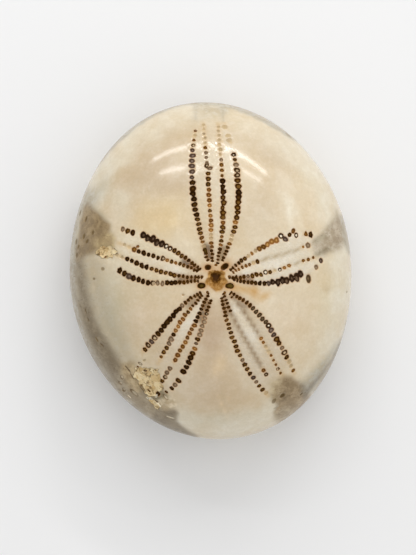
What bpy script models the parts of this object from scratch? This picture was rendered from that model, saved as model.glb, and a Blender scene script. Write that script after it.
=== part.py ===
"""Fossil sand dollar, polished: one domed oval test with five petals of pores.

Metres, +Z up. +Y is the front of the animal, +X its right side seen from above, and the
origin is under the middle of the test, on the surface that it rests on.
"""
import math

import bpy
import numpy as np
from mathutils import Vector, noise
from mathutils.geometry import delaunay_2d_cdt

MM = 0.001

# Size of the test
LENGTH = 40.0 * MM
HEIGHT = 16.6 * MM
EDGE_HEIGHT = 6.5 * MM              # level of the widest outline above the ground
DOME_FULLNESS = 2.2                 # 2 is an ellipse, more is flatter on top
FLANK_FULLNESS = 2.2                # the same for the turn from the edge down to the ground
LAND_REACH = 0.55                   # the flat it rests on, as a share of the outline

# Outline: waves on a circle, each (waves round, share of the mean radius, heading in degrees)
OUTLINE_WAVES = ((2, 0.0912, 96.2), (3, 0.0038, -49.2), (4, 0.0085, 13.3))

# Mesh: rings of points from the middle of the dome and of the base out to one shared rim
RIM_POINTS = 96
DOME_RINGS = 16
BASE_RINGS = 12
LAND_DISC = 5 / BASE_RINGS          # ring of the base where the flat ends
CLEARANCE = 0.72 * MM               # no ring point stands closer than this to a pit
PIT_CORNERS = 10                    # corners of a round pit
SAME_SPOT = 1e-7                    # spots closer than this are one

# Petals. All places below are in millimetres from the apical centre, where the rows meet.
APICAL_CENTRE = (0.53 * MM, -0.77 * MM)
OUTER, INNER = "outer", "inner"
STATIONS = (0, 1 / 3, 2 / 3, 1)
# Each petal has a heading in degrees and four rows: (kind, start, end, side offsets at STATIONS)
PETALS = {
    "front": (90.0, (
        (OUTER, 1.99, 17.48, (0.94, 2.20, 2.74, 2.22)),
        (INNER, 1.87, 17.68, (0.41, 0.64, 0.96, 1.43)),
        (INNER, 1.67, 17.48, (-0.17, -0.81, -0.69, -0.30)),
        (OUTER, 1.92, 17.44, (-0.74, -2.37, -2.41, -1.04)))),
    "left": (166.0, (
        (OUTER, 1.96, 11.68, (-0.47, -1.78, -2.54, -2.76)),
        (INNER, 2.22, 11.05, (-0.23, -0.53, -0.69, -1.11)),
        (INNER, 1.54, 11.59, (0.34, 0.85, 0.70, 0.22)),
        (OUTER, 1.90, 10.87, (0.85, 1.89, 2.38, 1.91)))),
    "right": (14.5, (
        (OUTER, 1.84, 11.80, (0.47, 1.77, 2.49, 2.03)),
        (INNER, 2.07, 11.16, (0.05, 0.57, 0.66, 1.01)),
        (INNER, 1.52, 11.41, (-0.36, -0.90, -0.84, -0.63)),
        (OUTER, 1.96, 12.24, (-0.76, -2.08, -2.20, -1.21)))),
    "back left": (-121.5, (
        (OUTER, 2.42, 11.25, (-0.61, -1.74, -2.18, -2.70)),
        (INNER, 2.55, 10.96, (-0.28, -0.68, -0.72, -0.51)),
        (INNER, 1.97, 13.37, (0.17, 0.69, 0.91, 0.95)),
        (OUTER, 2.54, 14.08, (0.83, 1.80, 2.45, 2.25)))),
    "back right": (-58.5, (
        (OUTER, 2.34, 14.36, (-0.69, -1.85, -2.40, -1.99)),
        (INNER, 2.04, 12.54, (-0.20, -0.70, -0.82, -0.95)),
        (INNER, 2.49, 13.26, (0.32, 0.74, 0.74, 0.65)),
        (OUTER, 2.37, 13.81, (0.62, 1.99, 2.27, 1.98)))),
}
ROW_STEPS = 160                     # points that a row's curve is measured with
PITCH_NEAR = 0.39 * MM              # between pores at the apical end of a row
PITCH_FAR = 0.57 * MM               # between pores further out
PITCH_GROWTH = 3.5 * MM             # length of row over which the pitch grows
PORE_DEPTH = 0.22 * MM
PORE_RADIUS = {OUTER: 0.25 * MM, INNER: 0.20 * MM}
PORE_SHARE = 0.48                   # the most that a pore's radius takes of the pitch
# Angles from the row's line, in degrees, of the rim points on each side of a pore
PORE_SIDES = {OUTER: (55, 125), INNER: (90,)}

# Apical star: (heading in degrees, reach in mm) of its five arms
STAR_ARMS = ((-150, 1.25), (-87, 1.5), (-25, 1.35), (38, 1.1), (129, 0.95))
STAR_NOTCH = 0.62                   # reach between two arms, as a share of theirs
STAR_CORE = 0.45 * MM
STAR_DEPTHS = (0.3 * MM, 0.6 * MM)   # at the core's rim and in its middle
# Genital pores: (place, half length, half width, heading of the length), in mm and degrees
GENITAL_PORES = (
    ((-0.90, 1.15), 0.34, 0.33, 0),
    ((1.01, 1.23), 0.46, 0.37, 35),
    ((-1.64, -0.93), 0.50, 0.34, 0),
    ((1.58, -0.95), 0.50, 0.34, 0))
GENITAL_DEPTH = 0.35 * MM
GENITAL_FLOOR = 0.45                # the floor, as a share of the pore

# Unpolished chips: corners in mm
CHIPS = (
    ((-9.4, -10.4), (-6.5, -10.6), (-6.0, -12.5), (-6.3, -13.3), (-4.9, -14.3), (-6.1, -15.1),
     (-8.1, -14.5), (-8.3, -13.5), (-8.7, -12.2), (-9.4, -11.5)),
    ((-13.7, 3.1), (-12.9, 3.5), (-11.6, 3.8), (-11.5, 2.9), (-11.9, 2.4), (-12.3, 1.7),
     (-13.2, 2.2)))
CHIP_LIP = 0.86                     # the floor's outline, as a share of the chip's
CHIP_DEPTH = 0.2 * MM
CHIP_ROUGH = 0.25 * MM
CHIP_GRAIN = 0.55 * MM              # spacing of the points on its edge and floor

# Underside. Its middle is the middle of the outline.
HOLLOW_REACH = 0.6 * LAND_REACH     # shallow hollow round the mouth, as a share of the outline
HOLLOW_DEPTH = 0.7 * MM
MOUTH_CENTRE = (0.0, 0.8 * MM)
MOUTH_RADII = (1.75 * MM, 1.45 * MM)  # at a corner and between two corners
MOUTH_DEPTH = 1.3 * MM
MOUTH_FLOOR = 0.6                   # the floor's outline, as a share of the mouth's
LIP_DISTANCE = 2.55 * MM            # five swollen lips stand round the mouth
LIP_RADIUS = 0.75 * MM
LIP_HEIGHT = 0.2 * MM
LIP_CORNERS = 6
VENT_CENTRE = (0.0, -14.6 * MM)     # anal opening, low at the back
VENT_HALF_SIZE = (1.0 * MM, 1.35 * MM)
VENT_DEPTH = 0.8 * MM
VENT_FLOOR = 0.55

# Material: cream polished calcite
CREAM = (0.66, 0.55, 0.40, 1)
POLISHED = 0.2

FIFTH = 360 / 5                     # turn from one ray of the animal to the next, in degrees
FORWARD = 90                        # heading of its front
SLOPE_STEP = 1e-3                   # step across the disc that slopes are measured with


def heading(degrees):
    """Unit vector in plan."""
    angle = math.radians(degrees)
    return np.array([math.cos(angle), math.sin(angle)])


def outline_share(angle):
    """Radius of the outline for a mean radius of 1."""
    waves = sum(size * math.cos(count * (angle - math.radians(turn)))
                for count, size, turn in OUTLINE_WAVES)
    return 1 + waves


def outline_box():
    """Middle and size of the outline's box for a mean radius of 1."""
    angles = [2 * math.pi * k / RIM_POINTS for k in range(RIM_POINTS)]
    rim = np.array([(outline_share(a) * math.cos(a), outline_share(a) * math.sin(a))
                    for a in angles])
    low, high = rim.min(axis=0), rim.max(axis=0)
    return (low + high) / 2, high - low


BOX_MIDDLE, BOX_SIZE = outline_box()
MEAN_RADIUS = LENGTH / BOX_SIZE[1]


# A face of the test is drawn on a unit disc: a spot is a point of the disc, and its distance
# from the middle says how far down the dome, or out along the base, the point lies.

def on_face(angle, reach, height):
    """Point at a share of the outline's reach."""
    radius = reach * MEAN_RADIUS * outline_share(angle)
    return np.array([radius * math.cos(angle), radius * math.sin(angle), height])


def dome_point(spot):
    """Point on the smooth dome."""
    tilt = math.hypot(*spot) * math.pi / 2
    reach = math.sin(tilt) ** (2 / DOME_FULLNESS)
    height = EDGE_HEIGHT + (HEIGHT - EDGE_HEIGHT) * math.cos(tilt)
    return on_face(math.atan2(spot[1], spot[0]), reach, height)


def base_point(spot):
    """Point on the smooth underside."""
    share = math.hypot(*spot)
    if share <= LAND_DISC:
        reach = LAND_REACH * share / LAND_DISC
        height = HOLLOW_DEPTH * max(0, 1 - (reach / HOLLOW_REACH) ** 2) ** 2
    else:
        turn = (1 - share) / (1 - LAND_DISC) * math.pi / 2
        reach = LAND_REACH + (1 - LAND_REACH) * abs(math.cos(turn)) ** (2 / FLANK_FULLNESS)
        height = EDGE_HEIGHT * (1 - math.sin(turn))
    return on_face(math.atan2(spot[1], spot[0]), reach, height)


def outline_reach(place):
    """Heading of a place in plan, and its share of the outline's reach there."""
    angle = math.atan2(place[1], place[0])
    return angle, min(1, math.hypot(place[0], place[1]) / (MEAN_RADIUS * outline_share(angle)))


def dome_spot(place):
    """Spot of the disc for a place in plan on the dome."""
    angle, reach = outline_reach(place)
    tilt = math.asin(reach ** (DOME_FULLNESS / 2))
    return np.array([math.cos(angle), math.sin(angle)]) * tilt / (math.pi / 2)


def base_spot(place):
    """Spot of the disc for a place in plan on the underside."""
    angle, reach = outline_reach(place)
    if reach <= LAND_REACH:
        share = LAND_DISC * reach / LAND_REACH
    else:
        flank = (reach - LAND_REACH) / (1 - LAND_REACH)
        turn = math.acos(flank ** (FLANK_FULLNESS / 2))
        share = 1 - (1 - LAND_DISC) * turn / (math.pi / 2)
    return np.array([math.cos(angle), math.sin(angle)]) * share


DOME = (dome_point, dome_spot)
BASE = (base_point, base_spot)


def normal_at(point_of, spot):
    """Upward normal of a face."""
    along = point_of(spot + (SLOPE_STEP, 0)) - point_of(spot - (SLOPE_STEP, 0))
    across = point_of(spot + (0, SLOPE_STEP)) - point_of(spot - (0, SLOPE_STEP))
    normal = np.cross(along, across)
    return normal / np.linalg.norm(normal)


# Marks are the points that shape a pit: (spot, how deep the point lies under the face).

def marks_at(face, places, depth):
    """Marks at one depth for places in plan."""
    return [(face[1](place), depth) for place in places]


def toward(centre, places, share):
    """Places moved in to a share of their distance from the centre."""
    return [centre + share * (place - centre) for place in places]


def ellipse(centre, half_size, turn, count):
    """Places evenly round an ellipse that is turned by some degrees."""
    long_way, wide_way = heading(turn), heading(turn + 90)
    places = []
    for k in range(count):
        cos, sin = heading(360 * k / count)
        places.append(centre + half_size[0] * cos * long_way + half_size[1] * sin * wide_way)
    return places


def pit(face, centre, rim, floor_share, depth):
    """Marks of a pit with a level floor inside a rim."""
    floor = toward(centre, rim, floor_share) + [centre]
    return marks_at(face, rim, 0) + marks_at(face, floor, depth)


def from_apex(place):
    """Place in plan of a point given in millimetres from the apical centre."""
    return np.array(APICAL_CENTRE) + np.array(place) * MM


# Pores

def row_curve(turn, start, end, offsets):
    """Points on the dome along the middle of a row, and the distance of each along it."""
    bend = np.polyfit(STATIONS, offsets, 3)
    points = []
    for share in np.linspace(0, 1, ROW_STEPS):
        out = start + (end - start) * share
        place = from_apex(out * heading(turn) + np.polyval(bend, share) * heading(turn + 90))
        points.append(dome_point(dome_spot(place)))
    points = np.array(points)
    steps = np.linalg.norm(np.diff(points, axis=0), axis=1)
    return points, np.concatenate([[0], np.cumsum(steps)])


def curve_point(points, distances, distance):
    """Point of a curve, run on straight past its ends."""
    inside = min(max(distance, 0), distances[-1])
    point = np.array([np.interp(inside, distances, points[:, axis]) for axis in range(3)])
    way = points[1] - points[0] if distance < 0 else points[-1] - points[-2]
    return point + (distance - inside) * way / np.linalg.norm(way)


def pore_distances(length):
    """Distances of the pores along a row, their pitch growing away from the apical centre."""
    distances = [0.0]
    while distances[-1] < length:
        grown = min(1, distances[-1] / PITCH_GROWTH)
        distances.append(distances[-1] + PITCH_NEAR + (PITCH_FAR - PITCH_NEAR) * grown)
    return np.array(distances) * length / distances[-1]


def pore_marks(kind, centre, along, radius):
    """Marks of one pore: the sides of its rim and its bottom."""
    across = np.cross(normal_at(dome_point, dome_spot(centre)), along)
    sides = []
    for angle in PORE_SIDES[kind]:
        cos, sin = heading(angle)
        for side in (sin, -sin):
            sides.append(centre + radius * (cos * along + side * across))
    return marks_at(DOME, sides, 0) + marks_at(DOME, [centre], PORE_DEPTH)


def row_marks(turn, kind, start, end, offsets):
    """Marks of one row: its pores, and a bridge at face level between each two."""
    curve = row_curve(turn, start, end, offsets)
    pores = pore_distances(curve[1][-1])
    bridges = [pores[0] - PITCH_NEAR / 2, *(pores[1:] + pores[:-1]) / 2,
               pores[-1] + PITCH_FAR / 2]
    marks = marks_at(DOME, [curve_point(*curve, distance) for distance in bridges], 0)
    for distance, pitch, before, after in zip(pores, np.gradient(pores), bridges, bridges[1:]):
        along = curve_point(*curve, after) - curve_point(*curve, before)
        along /= np.linalg.norm(along)
        radius = min(PORE_RADIUS[kind], PORE_SHARE * pitch)
        marks += pore_marks(kind, curve_point(*curve, distance), along, radius)
    return marks


def petal_marks():
    """Marks of all five petals."""
    marks = []
    for turn, rows in PETALS.values():
        for kind, start, end, offsets in rows:
            marks += row_marks(turn, kind, start, end, offsets)
    return marks


# Apical system

def star_marks():
    """Marks of the five-armed star and its deep core."""
    centre = from_apex((0, 0))
    rim = []
    for k, (turn, reach) in enumerate(STAR_ARMS):
        next_turn, next_reach = STAR_ARMS[(k + 1) % len(STAR_ARMS)]
        gap = (next_turn - turn) % 360
        notch = STAR_NOTCH * (reach + next_reach) / 2
        rim.append(centre + reach * MM * heading(turn))
        rim.append(centre + notch * MM * heading(turn + gap / 2))
    core = [centre + STAR_CORE * heading(turn) for turn, _ in STAR_ARMS]
    return (marks_at(DOME, rim, 0) + marks_at(DOME, core, STAR_DEPTHS[0])
            + marks_at(DOME, [centre], STAR_DEPTHS[1]))


def genital_marks():
    """Marks of the four genital pores round the star."""
    marks = []
    for place, half_length, half_width, turn in GENITAL_PORES:
        centre = from_apex(place)
        rim = ellipse(centre, (half_length * MM, half_width * MM), turn, PIT_CORNERS)
        marks += pit(DOME, centre, rim, GENITAL_FLOOR, GENITAL_DEPTH)
    return marks


# Chips

def inside(place, corners):
    """Whether a place lies inside a polygon."""
    crossings = 0
    for (x1, y1), (x2, y2) in zip(corners, corners[1:] + corners[:1]):
        if (y1 > place[1]) != (y2 > place[1]):
            crossings += place[0] < x1 + (place[1] - y1) * (x2 - x1) / (y2 - y1)
    return crossings % 2 == 1


def edge_points(corners, spacing):
    """Places along the sides of a polygon, no further apart than the spacing."""
    places = []
    for start, end in zip(corners, corners[1:] + corners[:1]):
        count = math.ceil(np.linalg.norm(end - start) / spacing)
        places += [start + (end - start) * k / count for k in range(count)]
    return places


def chip_marks():
    """Marks of the rough chips: an edge, a lip inside it and a lumpy floor."""
    marks = []
    for corners in CHIPS:
        rim = edge_points([from_apex(corner) for corner in corners], CHIP_GRAIN)
        centre = sum(rim) / len(rim)
        floor = toward(centre, rim, CHIP_LIP * CHIP_LIP)
        low, high = np.min(rim, axis=0), np.max(rim, axis=0)
        marks += marks_at(DOME, rim, 0)
        marks += marks_at(DOME, toward(centre, rim, CHIP_LIP), CHIP_DEPTH)
        for x in np.arange(low[0], high[0], CHIP_GRAIN):
            for y in np.arange(low[1], high[1], CHIP_GRAIN):
                if inside((x, y), floor):
                    lump = noise.noise(Vector((x, y, 0)) / CHIP_GRAIN)
                    marks += marks_at(DOME, [(x, y)], CHIP_DEPTH + CHIP_ROUGH * lump)
    return marks


# Underside

def mouth_marks():
    """Marks of the five-cornered mouth and the five lips round it."""
    centre = np.array(MOUTH_CENTRE)
    rim = [centre + MOUTH_RADII[k % 2] * heading(FORWARD + k * FIFTH / 2) for k in range(10)]
    marks = pit(BASE, centre, rim, MOUTH_FLOOR, MOUTH_DEPTH)
    for k in range(5):
        turn = FORWARD + (k + 1 / 2) * FIFTH
        middle = centre + LIP_DISTANCE * heading(turn)
        round_it = ellipse(middle, (LIP_RADIUS, LIP_RADIUS), turn, LIP_CORNERS)
        marks += marks_at(BASE, round_it, 0) + marks_at(BASE, [middle], -LIP_HEIGHT)
    return marks


def vent_marks():
    """Marks of the anal opening."""
    centre = np.array(VENT_CENTRE)
    rim = ellipse(centre, VENT_HALF_SIZE, 0, PIT_CORNERS)
    return pit(BASE, centre, rim, VENT_FLOOR, VENT_DEPTH)


# Mesh

def ring_spots(rings):
    """Even spots on rings from the middle of the disc to just inside its rim."""
    spots = [np.zeros(2)]
    for ring in range(1, rings):
        count = RIM_POINTS * ring // rings
        spots += [heading(360 * (k + ring % 2 / 2) / count) * ring / rings for k in range(count)]
    return spots


def face_mesh(face, marks, rings, rim, inward):
    """Points and triangles of one face. The rim's points come first."""
    mark_spots = np.array([spot for spot, _ in marks])
    gap = CLEARANCE / (MEAN_RADIUS * math.pi / 2)
    free = [spot for spot in ring_spots(rings)
            if np.min(np.linalg.norm(mark_spots - spot, axis=1)) > gap]
    laid_out = [(spot, 0) for spot in rim + free] + marks
    points = []
    for spot, depth in laid_out:
        point = face[0](spot)
        if depth:
            point = point + inward * depth * normal_at(face[0], spot)
        points.append(point)
    flat = [Vector(spot) for spot, _ in laid_out]
    triangles = delaunay_2d_cdt(flat, [], [], 0, SAME_SPOT)[2]
    return points, triangles


def test_mesh():
    """The whole test: dome and underside sewn at the rim."""
    rim = [heading(360 * k / RIM_POINTS) for k in range(RIM_POINTS)]
    dome_marks = petal_marks() + star_marks() + genital_marks() + chip_marks()
    base_marks = mouth_marks() + vent_marks()
    dome, dome_triangles = face_mesh(DOME, dome_marks, DOME_RINGS, rim, inward=-1)
    base, base_triangles = face_mesh(BASE, base_marks, BASE_RINGS, rim, inward=1)
    shift = len(dome) - RIM_POINTS

    def sewn(index):
        """Index of an underside point in the whole mesh."""
        return index if index < RIM_POINTS else index + shift

    points = np.array(dome + base[RIM_POINTS:])
    points[:, :2] -= BOX_MIDDLE * MEAN_RADIUS
    triangles = dome_triangles + [tuple(sewn(i) for i in reversed(t)) for t in base_triangles]
    mesh = bpy.data.meshes.new("sand_dollar")
    mesh.from_pydata([tuple(point) for point in points], [], triangles)
    mesh.shade_smooth()
    return mesh


def fossil_material():
    """Material of the whole test."""
    material = bpy.data.materials.new("fossil_calcite")
    material.use_nodes = True
    surface = material.node_tree.nodes["Principled BSDF"]
    surface.inputs["Base Color"].default_value = CREAM
    surface.inputs["Roughness"].default_value = POLISHED
    surface.inputs["Metallic"].default_value = 0
    return material


def clear_scene():
    """Take away whatever the file opened with."""
    for thing in list(bpy.data.objects):
        bpy.data.objects.remove(thing, do_unlink=True)


def main():
    """Build the fossil."""
    clear_scene()
    fossil = bpy.data.objects.new("sand_dollar", test_mesh())
    fossil.data.materials.append(fossil_material())
    bpy.context.scene.collection.objects.link(fossil)


main()
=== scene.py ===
"""Looks of the fossil sand dollar: polished calcite with five petals of stained pores.

Metres, +Z up, in the frame of the CAD model. Places on the test are in millimetres from the
apical centre, where the rows of pores meet, seen from above with the animal's front up.
"""

import math
from collections import namedtuple

import bpy
import numpy as np
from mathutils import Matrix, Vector, kdtree, noise
from mathutils.geometry import delaunay_2d_cdt


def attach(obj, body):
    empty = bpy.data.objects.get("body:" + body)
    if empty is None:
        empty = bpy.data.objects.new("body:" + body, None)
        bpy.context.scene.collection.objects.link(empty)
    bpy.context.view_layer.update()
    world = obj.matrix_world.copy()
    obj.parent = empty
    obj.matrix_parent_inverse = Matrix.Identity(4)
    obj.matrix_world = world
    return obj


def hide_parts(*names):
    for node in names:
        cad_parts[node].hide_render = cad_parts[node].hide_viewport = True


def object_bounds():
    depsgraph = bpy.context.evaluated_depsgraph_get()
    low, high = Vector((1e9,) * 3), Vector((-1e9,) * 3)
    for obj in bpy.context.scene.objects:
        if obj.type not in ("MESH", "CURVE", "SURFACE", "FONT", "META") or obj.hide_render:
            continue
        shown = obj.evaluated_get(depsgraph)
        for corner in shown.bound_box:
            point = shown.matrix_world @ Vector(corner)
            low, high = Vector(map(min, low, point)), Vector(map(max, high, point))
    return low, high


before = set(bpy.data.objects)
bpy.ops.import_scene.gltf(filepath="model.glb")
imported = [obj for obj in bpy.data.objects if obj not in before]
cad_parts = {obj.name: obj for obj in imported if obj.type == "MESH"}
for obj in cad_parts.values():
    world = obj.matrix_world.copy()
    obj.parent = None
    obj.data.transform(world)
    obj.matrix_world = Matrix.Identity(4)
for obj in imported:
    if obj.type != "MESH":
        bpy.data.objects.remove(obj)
CAD_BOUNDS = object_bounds()

MM = 0.001
SEED = 5

# Size of the test, from the frame
LENGTH = CAD_BOUNDS[1][1] - CAD_BOUNDS[0][1]
HEIGHT = CAD_BOUNDS[1][2]
EDGE_HEIGHT = 6.5 * MM  # level of the widest outline above the ground
DOME_FULLNESS = 2.2  # 2 is an ellipse, more is flatter on top
FLANK_FULLNESS = 2.2  # the same for the turn from the edge down to the ground
LAND_REACH = 0.55  # the flat it rests on, as a share of the outline
LAND_DISC = 5 / 12  # the flat's share of the disc that the base is drawn on
HOLLOW_REACH = 0.6 * LAND_REACH  # shallow hollow round the mouth
HOLLOW_DEPTH = 0.7 * MM
OUTLINE_WAVES = ((2, 0.0912, 96.2), (3, 0.0038, -49.2), (4, 0.0085, 13.3))
OUTLINE_STEPS = 96  # steps round the outline that its box is measured with
APICAL_CENTRE = np.array((0.53, -0.77)) * MM  # from the outline's middle
FIT = 0.999  # keeps the smooth outline inside the model's faceted one

# Mesh
SLOPE_STEP = 1e-3  # step across the disc that slopes are measured with
DOME_RINGS = 76
BASE_RINGS = 56
RIM_POINTS = 6 * DOME_RINGS
SAME_SPOT = 1e-7  # spots closer than this are one
FAR = 9.0  # stands for out of reach in a field
MARK_RINGS = ((0.5, 8), (0.85, 14), (1.12, 14), (1.5, 12))  # (share of the mark, points)
MARK_FIELD = 2.0  # how far round a mark its colours are worked out, in sizes
CLEARANCE = 0.05 * MM  # no two points stand closer than this
ROUND = np.linspace(-math.pi, math.pi, 37)  # directions that a mark's outline is given in

# Rows of pores
OUTER, INNER = "outer", "inner"
STATIONS = (0, 1 / 3, 2 / 3, 1)
# Each petal has a heading in degrees and four rows. A row has its kind, start and end, its side
# offsets at STATIONS, and its stretches from the apex out: (look, end, width of its pores)
PETALS = {
    "front": (90.0, (
        (OUTER, 1.99, 17.48, (0.94, 2.20, 2.74, 2.22), (
            ("deep", 3.5, 1.1), ("faint", 3.9, 0.9), ("rust", 4.9, 0.95), ("dark", 6.9, 1.1),
            ("black", 7.9, 1.3), ("plum", 8.3, 1.15), ("black", 10.9, 1.25),
            ("plum", 15.0, 1.0), ("ring", 15.5, 0.85), ("rust", 16.0, 0.8),
            ("tan", 16.6, 0.7), ("brown", 17.2, 0.6), ("none", 18, 1.0))),
        (INNER, 1.87, 17.68, (0.41, 0.64, 0.96, 1.43), (
            ("deep", 3.3, 0.95), ("rust", 4.2, 0.95), ("faint", 5.0, 1.0), ("orange", 6.3, 1.05),
            ("rust", 7.0, 1.1), ("orange", 7.4, 1.0), ("dark", 7.9, 0.95), ("orange", 8.5, 0.9),
            ("rust", 10.5, 1.05), ("dark", 12.0, 1.1), ("none", 12.9, 1.0),
            ("grey", 14.6, 0.85), ("brown", 15.3, 0.75), ("tan", 18, 0.8))),
        (INNER, 1.67, 17.48, (-0.17, -0.81, -0.69, -0.30), (
            ("deep", 3.5, 0.95), ("rust", 3.9, 1.0), ("dark", 4.3, 1.1), ("rust", 4.8, 1.05),
            ("dark", 5.9, 1.15), ("rust", 6.4, 1.1), ("dark", 9.2, 1.2), ("black", 11.4, 1.25),
            ("brown", 13.2, 0.9), ("grey", 13.8, 0.8), ("faint", 15.6, 0.8),
            ("tan", 18, 0.9))),
        (OUTER, 1.92, 17.44, (-0.74, -2.37, -2.41, -1.04), (
            ("deep", 3.4, 0.95), ("brown", 4.2, 1.0), ("faint", 4.8, 0.8), ("rust", 5.2, 1.1),
            ("dark", 5.8, 1.25),
            ("orange", 6.3, 1.05), ("dark", 8.8, 1.3), ("black", 9.8, 1.3), ("dark", 11.5, 1.3),
            # The grey pores up to 13.2 mm and the white-centred ones up to 14.4 mm out are drawn
            # lighter where glints lie over them: partly painted highlight
            ("ring", 12.6, 1.15), ("grey", 13.2, 1.0), ("dark", 13.8, 0.85),
            ("bright ring", 14.4, 0.9), ("none", 15.3, 1.0), ("tan", 15.9, 1.15),
            ("none", 16.1, 1.0), ("tan", 16.6, 1.0), ("none", 17.1, 1.0), ("tan", 18, 1.3))))),
    "left": (166.0, (
        (OUTER, 1.96, 11.68, (-0.47, -1.78, -2.54, -2.76), (
            ("deep", 4.2, 1.0), ("dark", 5.8, 1.1), ("bright ring", 6.4, 1.15),
            ("chain", 9.6, 1.3), ("none", 10.2, 1.0), ("black", 10.8, 1.2), ("dark", 11.2, 1.0),
            ("grey", 12, 0.9))),
        (INNER, 2.22, 11.05, (-0.23, -0.53, -0.69, -1.11), (
            ("deep", 3.7, 0.9), ("dark", 4.5, 1.0), ("rust", 5.0, 0.85), ("dark", 5.8, 0.95),
            ("orange", 6.3, 0.9), ("ring", 6.9, 1.2), ("black", 9.3, 1.1),
            ("brown", 10.3, 1.2), ("tan", 12, 0.8))),
        (INNER, 1.54, 11.59, (0.34, 0.85, 0.70, 0.22), (
            ("deep", 4.6, 1.0), ("dark", 7.6, 1.15), ("black", 10.6, 1.25), ("tan", 12, 0.8))),
        (OUTER, 1.90, 10.87, (0.85, 1.89, 2.38, 1.91), (
            ("deep", 4.2, 1.0), ("black", 5.7, 1.3), ("grey", 6.5, 1.0),
            ("ring", 6.9, 1.2), ("black", 8.1, 1.15), ("ring", 8.5, 1.1), ("black", 9.1, 1.15),
            ("plum", 9.9, 1.3), ("black", 12, 1.2))))),
    "right": (14.5, (
        (OUTER, 1.84, 11.80, (0.47, 1.77, 2.49, 2.03), (
            ("deep", 3.1, 0.95), ("dark", 3.9, 1.1), ("faint", 4.5, 0.8), ("orange", 5.1, 0.9),
            ("faint", 5.6, 0.8),
            ("brown", 6.4, 1.2), ("orange", 7.9, 1.35), ("none", 10.0, 1.0),
            ("bright ring", 10.6, 1.1), ("none", 10.85, 1.0),
            ("brown", 11.4, 0.9), ("black", 12, 1.15))),
        (INNER, 2.07, 11.16, (0.05, 0.57, 0.66, 1.01), (
            ("rust", 4.2, 0.85), ("faint", 4.9, 0.9), ("dark", 5.3, 1.0), ("smear", 10.2, 1.0),
            ("orange", 10.7, 0.7), ("tan ring", 12, 1.15))),
        (INNER, 1.52, 11.41, (-0.36, -0.90, -0.84, -0.63), (
            ("deep", 3.3, 1.0), ("grey", 3.8, 0.9), ("dark", 5.2, 1.1),
            ("bright ring", 5.7, 1.2), ("dark", 6.2, 1.1), ("tan", 6.9, 0.8),
            ("bright ring", 7.4, 1.0), ("orange", 8.8, 0.8), ("smear", 9.9, 0.7),
            ("brown", 11.0, 0.8), ("rust", 12, 0.7))),
        (OUTER, 1.96, 12.24, (-0.76, -2.08, -2.20, -1.21), (
            ("deep", 4.3, 1.05), ("black", 5.6, 1.2), ("plum", 6.1, 1.3),
            ("chain", 10.0, 1.4), ("none", 13, 1.0))))),
    "back left": (-121.5, (
        (OUTER, 2.42, 11.25, (-0.61, -1.74, -2.18, -2.70), (
            ("deep", 4.3, 0.95), ("grey", 5.0, 1.2), ("black", 5.8, 1.25),
            ("black", 7.7, 1.5), ("black", 9.4, 1.25), ("ring", 10.0, 1.15), ("plum", 10.5, 1.0),
            ("ring", 10.9, 1.1), ("dark", 12, 1.0))),
        (INNER, 2.55, 10.96, (-0.28, -0.68, -0.72, -0.51), (
            ("deep", 4.1, 0.85), ("rust", 4.6, 0.9), ("dark", 5.1, 0.95), ("rust", 6.9, 1.05),
            ("orange", 8.0, 1.05), ("black", 8.4, 1.15), ("grey", 9.6, 1.15), ("dark", 10.6, 1.05),
            ("brown", 12, 0.8))),
        (INNER, 1.97, 13.37, (0.17, 0.69, 0.91, 0.95), (
            ("deep", 3.8, 0.95), ("black", 5.5, 1.1), ("rust", 7.6, 1.1), ("orange", 8.2, 1.0),
            ("brown", 9.4, 1.0), ("rust", 10.9, 1.1), ("none", 11.5, 1.0), ("grey", 12.4, 1.05),
            ("ring", 13.1, 1.15), ("dark", 14, 1.0))),
        (OUTER, 2.54, 14.08, (0.83, 1.80, 2.45, 2.25), (
            ("deep", 3.9, 0.9), ("ring", 4.4, 1.0), ("tan ring", 6.8, 1.1), ("dark", 7.3, 1.05),
            ("grey", 7.9, 0.8), ("orange", 8.5, 0.95), ("dark", 9.3, 1.1), ("black", 10.7, 1.25),
            ("black", 11.4, 1.45), ("none", 12.0, 1.0), ("dark", 12.5, 1.05), ("grey", 13.1, 1.05),
            ("black", 13.8, 1.05), ("none", 14.3, 1.0))))),
    "back right": (-58.5, (
        (OUTER, 2.34, 14.36, (-0.69, -1.85, -2.40, -1.99), (
            ("deep", 4.4, 0.9), ("brown", 5.0, 0.9), ("dark", 9.6, 0.92), ("grey", 10.1, 0.9),
            ("dark", 11.6, 0.95), ("plum", 12.1, 0.95), ("black", 12.6, 1.2), ("grey", 13.2, 0.9),
            ("dark", 14.0, 0.9), ("faint", 15, 0.8))),
        (INNER, 2.04, 12.54, (-0.20, -0.70, -0.82, -0.95), (
            ("deep", 4.1, 0.85), ("smear", 11.5, 1.1), ("rust", 12.1, 1.0),
            ("ring", 13, 1.0))),
        (INNER, 2.49, 13.26, (0.32, 0.74, 0.74, 0.65), (
            ("deep", 3.2, 0.75), ("smear", 8.4, 0.9), ("orange", 8.9, 0.8),
            ("rust", 9.4, 0.7), ("tan", 10.4, 0.8), ("rust", 12.4, 0.7),
            ("ring", 12.9, 0.8), ("rust", 14, 0.7))),
        (OUTER, 2.37, 13.81, (0.62, 1.99, 2.27, 1.98), (
            ("deep", 5.0, 1.05), ("dusk", 7.5, 1.1), ("bright ring", 7.9, 1.25), ("plum", 9.4, 1.15),
            ("dark", 10.6, 1.1), ("grey", 11.0, 1.0), ("ring", 11.6, 1.1), ("faint", 12.0, 0.9),
            ("dark", 12.5, 1.0), ("tan", 13.3, 1.0), ("brown", 14.4, 0.85))))),
}
PITCH_NEAR = 0.36 * MM  # between pores at the apical end of a row
PITCH_FAR = 0.68 * MM  # between pores further out
PITCH_GROWTH = 9.0 * MM  # length of row over which the pitch grows
PITCH_EASE = 0.6  # below 1, it grows fastest at the start
ROW_STEPS = 160
PORE_HALF_WIDTH = {OUTER: 0.30 * MM, INNER: 0.235 * MM}  # across the row
PORE_SHARE = 0.37  # half length along the row, as a share of the pitch
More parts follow.
